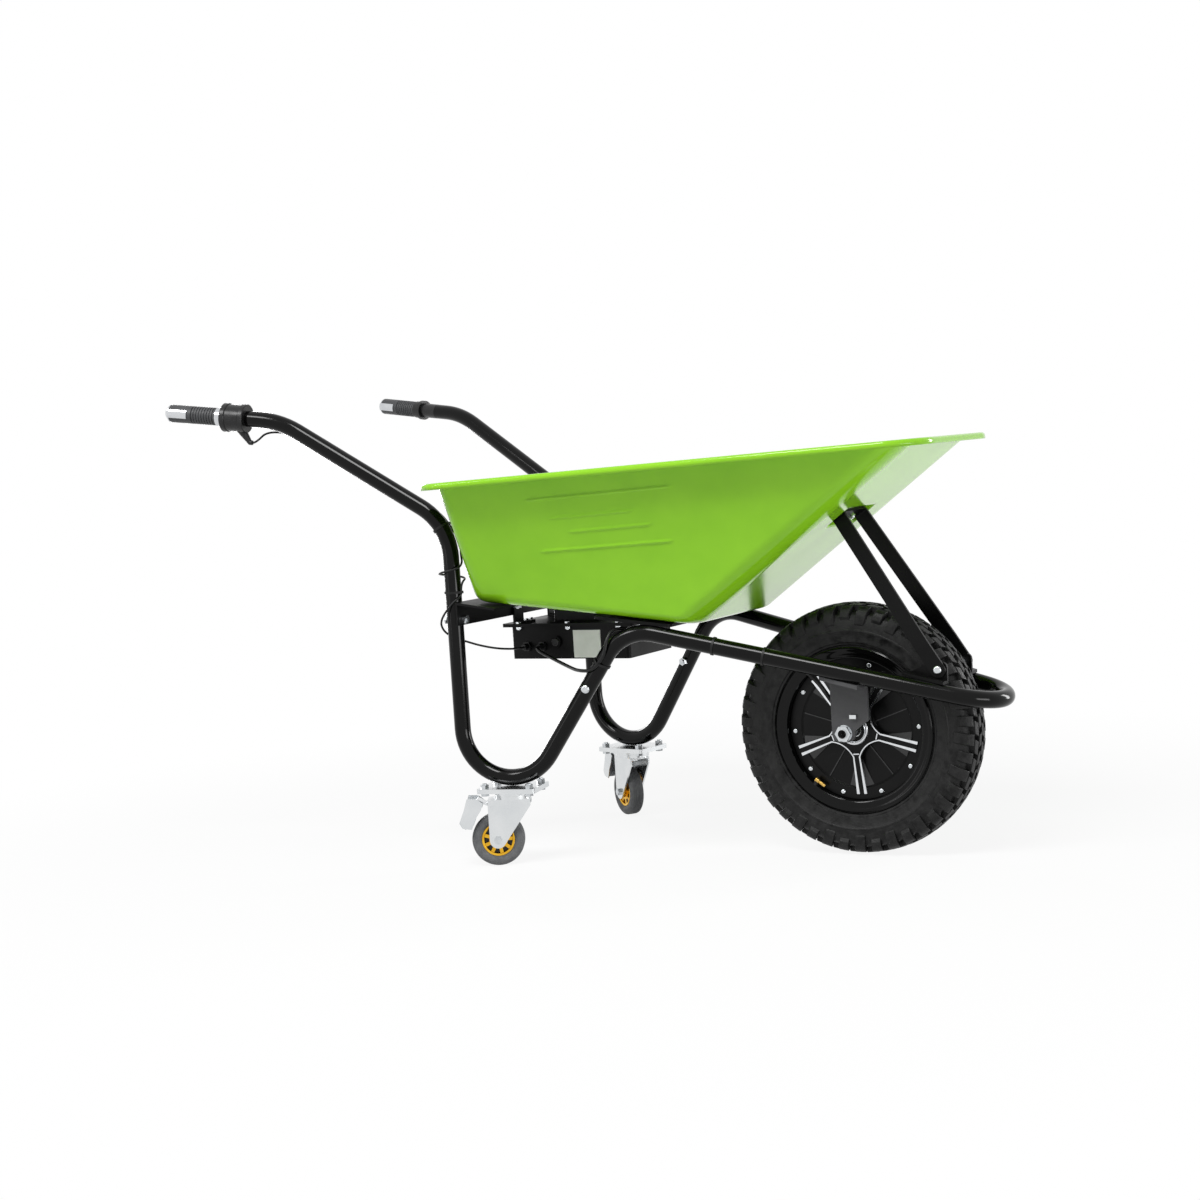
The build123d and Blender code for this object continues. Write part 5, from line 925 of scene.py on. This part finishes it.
def ribbon(points, faces, path, low, high):
    """Strip along a path of spots and half widths; low and high are depths from the star's face."""
    base = len(points)
    for index, (spot, half) in enumerate(path):
        before, after = path[max(index - 1, 0)][0], path[min(index + 1, len(path) - 1)][0]
        ahead = (after - before).normalized()
        aside = Vector((-ahead.y, ahead.x))
        level = star_depth(spot.length)
        foot = half + RIBBON_BEVEL
        for offset, depth in ((-foot, low), (-half, high), (half, high), (foot, low)):
            points.append(on_cover(spot + aside * offset, level + depth))
    for index in range(len(path) - 1):
        a = base + 4 * index
        faces += [(a + k, a + 4 + k, a + 4 + (k + 1) % 4, a + (k + 1) % 4) for k in range(4)]
    last = base + 4 * (len(path) - 1)
    faces += [(base, base + 1, base + 2, base + 3), (last + 3, last + 2, last + 1, last)]


# %% Bright edges
LINE_HALF = 1.2
LINE_FLARE = 1.3
LINE_CURVE = 1.3
LINE_LOW = -3
LINE_HIGH = 0.9
HOLLOW_HALF = 0.9
ROOT_BAR_R = 41
ROOT_BAR_HALF = 0.9
ROOT_BAR_LOW = -2
ROOT_BAR_HIGH = 0.8


def arm_line(index, side):
    """Bright line along one edge of an arm, from its end inwards: it widens to the end."""
    line = []
    for radius in ARM_RADII:
        share = max(0, (radius - ARM_ROOT_R) / (ARM_END_R - ARM_ROOT_R))
        line.append((arm_edge(arm_turn(index), side, radius), LINE_HALF + LINE_FLARE * share**LINE_CURVE))
    return line


edge_points, edge_faces = [], []
for index in range(ARMS):
    path = arm_line(index, 1)
    path += [(spot, HOLLOW_HALF) for spot in hollow(index)[1:-1]]
    path += list(reversed(arm_line(index + 1, -1)))
    ribbon(edge_points, edge_faces, path, LINE_LOW, LINE_HIGH)
    bar = [(arm_edge(arm_turn(index), side, ROOT_BAR_R), ROOT_BAR_HALF) for side in (-1, 1)]
    ribbon(edge_points, edge_faces, bar, ROOT_BAR_LOW, ROOT_BAR_HIGH)
bright_edges = make_object("bright_edges", edge_points, edge_faces)
face_out(bright_edges, sharp_angle=25)
place_piece(bright_edges, machined_aluminium, "drive_wheel", "silver_cap", "hub_cover_right")
print("points of the bright edges", len(edge_points))

# %% [markdown]
# ## Ridges
# A thin ridge divides the panel between two arms. A line in the colour would not catch light from the
# side, so each ridge is a narrow plate with four corners, in the facets' lighter black: painted light.

# %% Ridges in the panels
RIDGE_ROOT_R = 36
RIDGE_END_R = 96
RIDGE_HALF = 0.8
RIDGE_TOP = PANEL_Y + 1.4

ridge_spots, ridge_faces = [], []
for index in range(ARMS):
    turn = arm_turn(index + 0.5)
    out = Vector((cos(turn), sin(turn)))
    aside = Vector((-sin(turn), cos(turn))) * RIDGE_HALF
    base = len(ridge_spots)
    root, end = out * RIDGE_ROOT_R, out * RIDGE_END_R
    ridge_spots += [root - aside, end - aside, end + aside, root + aside]
    ridge_faces.append((base, base + 1, base + 2, base + 3))
panel_ridges = plate("panel_ridges", ridge_spots, [RIDGE_TOP] * len(ridge_spots), ridge_faces)
# The ridges take the same lighter black as the facets, painted light.
place_piece(panel_ridges, painted_lit_black, "drive_wheel", "hub_black", "hub_cover_right")
print("ridges", len(ridge_faces))

# %% [markdown]
# ## Casters
# Each small wheel has a ribbed grey tyre on a gold rim with dark windows, and each brake pedal has two
# flat cheeks. The windows could be cut out of a disc. Bars between a band and a hub leave the same
# windows with a clean mesh, and a black disc between the webs paints the shade seen through them. The
# wheel's axle and the swivel's post come from the joints, so one loop dresses both sides.

# %% Profiles of a caster wheel
# Half profiles in millimetres along the axle and from it.
TYRE_R = 45
RIM_R = 28
SHOULDER = [(-10, RIM_R + 0.2), (-11.6, RIM_R + 2), (-13, 34), (-13, 38), (-11.6, 42), (-9.6, 44.2)]
RIB_PITCH = 3
RIB_TOP = [(-1.1, TYRE_R), (1.1, TYRE_R), (1.5, TYRE_R - 0.8)]
HALF_BAND = [(11, RIM_R), (11.4, 26.6), (10.6, 24.4), (8.4, 23.6)]
HALF_HUB = [(7.4, 11), (7.4, 16), (9, 16), (9.6, 12), (13, 12), (13, 4.2)]
# The black disc between the two webs is painted shade, seen through the windows.
HALF_SHADE_CORE = [(5, 23.5), (5, 11.1)]
tread = [(rib * RIB_PITCH + along, radius) for rib in range(-2, 3) for along, radius in RIB_TOP]
small_tyre = SHOULDER + tread + mirrored(SHOULDER)
print("ribs round a caster's tyre", len(tread) // len(RIB_TOP))

# %% Bars between the windows
WINDOWS = 9
WEB_DEPTHS = (7.4, 9)
# Radius and half angle of a bar at its root and at its tip.
WEB_ROOT = (15, 0.19)
WEB_TIP = (24.6, 0.12)


def window_bars(name, centre, axis):
    """Bars of both webs of a rim, which leave windows between them."""
    along = Vector(axis).normalized()
    first = along.orthogonal().normalized()
    second = along.cross(first)
    (root_r, root_half), (tip_r, tip_half) = WEB_ROOT, WEB_TIP
    corners = ((root_r, -root_half), (root_r, root_half), (tip_r, tip_half), (tip_r, -tip_half))
    points, faces = [], []
    for face_side in (-1, 1):
        for index in range(WINDOWS):
            base = len(points)
            for depth in WEB_DEPTHS:
                for radius, reach in corners:
                    turn = 2 * pi * index / WINDOWS + reach
                    out = first * cos(turn) + second * sin(turn)
                    points.append(centre + (along * face_side * depth + out * radius) * MM)
            a, b = base, base + 4
            faces += [(a, a + 1, a + 2, a + 3), (b, b + 3, b + 2, b + 1)]
            faces += [(a + k, b + k, b + (k + 1) % 4, a + (k + 1) % 4) for k in range(4)]
    bars = make_object(name, points, faces)
    face_out(bars)
    return bars


# %% Pedal cheeks
# Outline of a cheek: millimetres ahead of the post and above the ground.
CHEEK = [
    (-62, 118), (-79, 119), (-85, 100), (-94, 78), (-89, 69), (-73, 66), (-66, 84), (-56, 98), (-52, 110),
]
CHEEK_Y = 20.6
CHEEK_T = 1.6


def pedal_cheek(name, post, ahead, out):
    """Flat cheek of a brake pedal beside the wheel, on the side that out points to."""
    ground = Vector((post.x, post.y, 0))
    points = []
    for y in (CHEEK_Y, CHEEK_Y + CHEEK_T):
        points += [ground + (ahead * x + out * y + Vector((0, 0, z))) * MM for x, z in CHEEK]
    corners = len(CHEEK)
    faces = [tuple(range(corners)), tuple(reversed(range(corners, 2 * corners)))]
    faces += [(k, k + corners, (k + 1) % corners + corners, (k + 1) % corners) for k in range(corners)]
    cheek = make_object(name, points, faces)
    face_out(cheek)
    return cheek


# %% Both casters
for name in ("right", "left"):
    roll = joints[f"caster_roll_{name}"]
    hub, axis = Vector(roll["pos_m"]), Vector(roll["axis"])
    post = Vector(joints[f"caster_swivel_{name}"]["pos_m"])
    wheel, node = f"caster_wheel_{name}", f"caster_rim_{name}"
    ribbed = turned(f"ribbed_tyre_{name}", small_tyre, hub, axis, steps=72)
    place_piece(ribbed, grey_rubber, wheel, "caster_rubber", f"caster_tyre_{name}")
    for label, half in (("band", HALF_BAND), ("hub", HALF_HUB)):
        ring = turned(f"gold_{label}_{name}", half + mirrored(half), hub, axis, steps=72)
        place_piece(ring, yellow_passivate, wheel, "gold_rim", node)
    bars = window_bars(f"gold_bars_{name}", hub, axis)
    place_piece(bars, yellow_passivate, wheel, "gold_rim", node)
    # A black disc inside the rim paints the shade in its windows.
    core = turned(f"window_shade_core_{name}", HALF_SHADE_CORE + mirrored(HALF_SHADE_CORE), hub, axis, steps=48)
    place_piece(core, moulded_abs, wheel, "black_plastic", node)
    ahead = Vector((axis.y, -axis.x, 0))
    for label, side in (("right", -1), ("left", 1)):
        cheek = pedal_cheek(f"pedal_cheek_{name}_{label}", post, ahead, axis * side)
        place_piece(cheek, zinc_plate, f"brake_{name}", "zinc")
    print("caster", name, "at", tuple(round(v, 3) for v in hub))

# %% [markdown]
# ## Handles
# The rubber sleeves have soft ribs where the fingers close, and the right one turns as the throttle.
# Ribs could be a bump, but they show in the outline of the grip, so they belong to the turned profile.

# %% Ribbed grips
# Millimetres along the handle, from the place of the throttle's joint, and from the bar's middle.
GRIP_R = 15.5
GRIP_START = 9
GRIP_LENGTH = 100
BAR_INSIDE = 12
RIBS = 9
RIB_STEP = 5.2
RIB_SPACE = 0.6
RIB_SHAPE = [(0, -1.7), (0.9, -1.7), (1.5, -0.4), (2.2, 0), (3.8, 0), (4.5, -0.4), (5.1, -1.7)]
ROUND_GRIP = 64
handle = joints["throttle_twist"]
handle_end, handle_way = Vector(handle["pos_m"]), Vector(handle["axis"])
ribs_start = GRIP_LENGTH - RIBS * RIB_STEP
sleeve = [(GRIP_START, BAR_INSIDE), (GRIP_START, GRIP_R), (ribs_start - RIB_SPACE, GRIP_R)]
for index in range(RIBS):
    sleeve += [(ribs_start + index * RIB_STEP + along, GRIP_R + rise) for along, rise in RIB_SHAPE]
sleeve += [(GRIP_LENGTH, BAR_INSIDE)]
GRIPS = [("right", 1, "throttle", "throttle_grip"), ("left", -1, "frame", "left_grip")]
for label, side, body, node in GRIPS:
    end = Vector((handle_end.x, side * handle_end.y, handle_end.z))
    way = Vector((handle_way.x, side * handle_way.y, handle_way.z))
    grip = turned(f"ribbed_grip_{label}", sleeve, end, way, ROUND_GRIP)
    place_piece(grip, grip_rubber, body, "grip_rubber", node)
print("grip ribs", RIBS)

# %% [markdown]
# ## Housing of the throttle
# The housing is moulded in two halves that are clamped on the bar, and a raised band goes round at each
# end. The solid gives the housing itself, so only the two bands are added, as turned rings on it.

# %% Housing bands
HOUSING_START = 113
HOUSING_END = 158
BAND_WIDTH = 10
BAND_SHAPE = [(0, 20), (0, 24), (1.4, 25.4), (8.6, 25.4), (BAND_WIDTH, 24), (BAND_WIDTH, 20)]
for label, start in (("rear", HOUSING_START), ("front", HOUSING_END - BAND_WIDTH)):
    shape = [(start + along, radius) for along, radius in BAND_SHAPE]
    band = turned(f"housing_band_{label}", shape, handle_end, handle_way, ROUND_GRIP)
    place_piece(band, moulded_abs, "frame", "black_plastic")
print("bands from", HOUSING_START, "to", HOUSING_END, "mm along the handle")

# %% [markdown]
# ## Lamps
# The barrow is lit as in a studio. A boom lamp above the near side gives most of the light, and a
# second one to the left evens it out. A tall weak strip further left draws the long lines on the tubes,
# a low card in front fills the nose, and two upright lamps behind edge the tubes and the far side. A
# sun would be simpler, but its sharp shadows would not look like a studio. The power keeps every colour
# about as it is written.

# %% Lamps
LAMP_AIM = Vector((0, 0, 0.4))


def lamp(name, spot, width, height, power):
    """Flat lamp aimed at the barrow. Sizes are in metres and power in watts."""
    light = bpy.data.lights.new(name, "AREA")
    light.energy = power
    light.shape = "RECTANGLE"
    light.size = width
    light.size_y = height
    piece = bpy.data.objects.new(name, light)
    scene.collection.objects.link(piece)
    piece.location = spot
    piece.rotation_euler = (LAMP_AIM - Vector(spot)).to_track_quat("-Z", "Y").to_euler()


lamp("boom_lamp", (0.4, -1.55, 2.8), 1.1, 0.9, 66)
lamp("left_lamp", (-1.3, -2.3, 2.6), 0.8, 0.8, 36)
lamp("left_strip", (-2.0, -2.6, 1.2), 0.3, 2.2, 8)
lamp("low_card", (2.3, -0.7, 0.3), 0.9, 0.5, 12)
lamp("back_right", (2.4, 2.0, 0.9), 0.5, 1.6, 40)
lamp("back_left", (-2.5, 2.0, 0.9), 0.5, 1.6, 30)
print("lamps", len(bpy.data.lights))

# %% [markdown]
# ## White room
# The photograph's background is plain white. More light could make it so, but that would bleach the
# barrow. So the world is a soft grey where it lights surfaces, and white, at a strength of one, where
# it is seen: by the camera, in mirrors and through glass.

# %% White room
WHITE = (1, 1, 1, 1)
SOFT_LIGHT = 0.28


def seen_ray(tree):
    """One for rays that show the background: to the camera, in mirrors and through glass."""
    rays = add(tree, "ShaderNodeLightPath")
    first = {0: rays.outputs["Is Camera Ray"], 1: rays.outputs["Is Glossy Ray"]}
    in_mirrors = add(tree, "ShaderNodeMath", {"operation": "MAXIMUM"}, first)
    second = {0: in_mirrors.outputs[0], 1: rays.outputs["Is Transmission Ray"]}
    return add(tree, "ShaderNodeMath", {"operation": "MAXIMUM"}, second).outputs[0]


world = bpy.data.worlds.new("studio")
scene.world = world
world.use_nodes = True
tree = world.node_tree
tree.nodes.clear()
seen = seen_ray(tree)
soft = add(tree, "ShaderNodeBackground", None, {"Color": WHITE, "Strength": SOFT_LIGHT})
white = add(tree, "ShaderNodeBackground", None, {"Color": WHITE, "Strength": 1.0})
either = add(tree, "ShaderNodeMixShader", None, {0: seen, 1: soft.outputs[0], 2: white.outputs[0]})
output = add(tree, "ShaderNodeOutputWorld")
tree.links.new(either.outputs[0], output.inputs[0])
scene.view_settings.view_transform = "Standard"
print("soft light of the room", SOFT_LIGHT)

# %% [markdown]
# ## Paper floor
# The barrow stands on white paper. A plain white floor would show a grey edge against the room. This
# one mixes matt paper, which takes the shadow, with the room's white, and fades into it further out.

# %% Paper floor
FLOOR_HALF = 30
PAPER = (0.7, 0.7, 0.7, 1)
# Metres from the middle at which the fade starts and ends, and the share of white near the barrow.
FADE_START = 0.7
FADE_END = 1.8
NEAR_WHITE = 0.88

corners = [(x * FLOOR_HALF, y * FLOOR_HALF, 0) for x, y in ((-1, -1), (1, -1), (1, 1), (-1, 1))]
floor = make_object("studio_floor", corners, [(0, 1, 2, 3)], smooth=False)
paper = bpy.data.materials.new("white_paper")
paper.use_nodes = True
tree = paper.node_tree
tree.nodes.clear()
matt = add(tree, "ShaderNodeBsdfDiffuse", None, {"Color": PAPER})
bright = add(tree, "ShaderNodeEmission", None, {"Color": WHITE, "Strength": 1.0})
where = add(tree, "ShaderNodeTexCoord").outputs["Object"]
away = add(tree, "ShaderNodeVectorMath", {"operation": "LENGTH"}, {0: where}).outputs["Value"]
reach = {"Value": away, "From Min": FADE_START, "From Max": FADE_END, "To Min": NEAR_WHITE, "To Max": 1.0}
fade = add(tree, "ShaderNodeMapRange", {"interpolation_type": "SMOOTHSTEP"}, reach)
share = add(tree, "ShaderNodeMath", {"operation": "MULTIPLY"}, {0: seen_ray(tree), 1: fade.outputs[0]})
parts = {0: share.outputs[0], 1: matt.outputs[0], 2: bright.outputs[0]}
either = add(tree, "ShaderNodeMixShader", None, parts)
output = add(tree, "ShaderNodeOutputMaterial")
tree.links.new(either.outputs[0], output.inputs[0])
floor.data.materials.append(paper)
print("paper", 2 * FLOOR_HALF, "m wide")
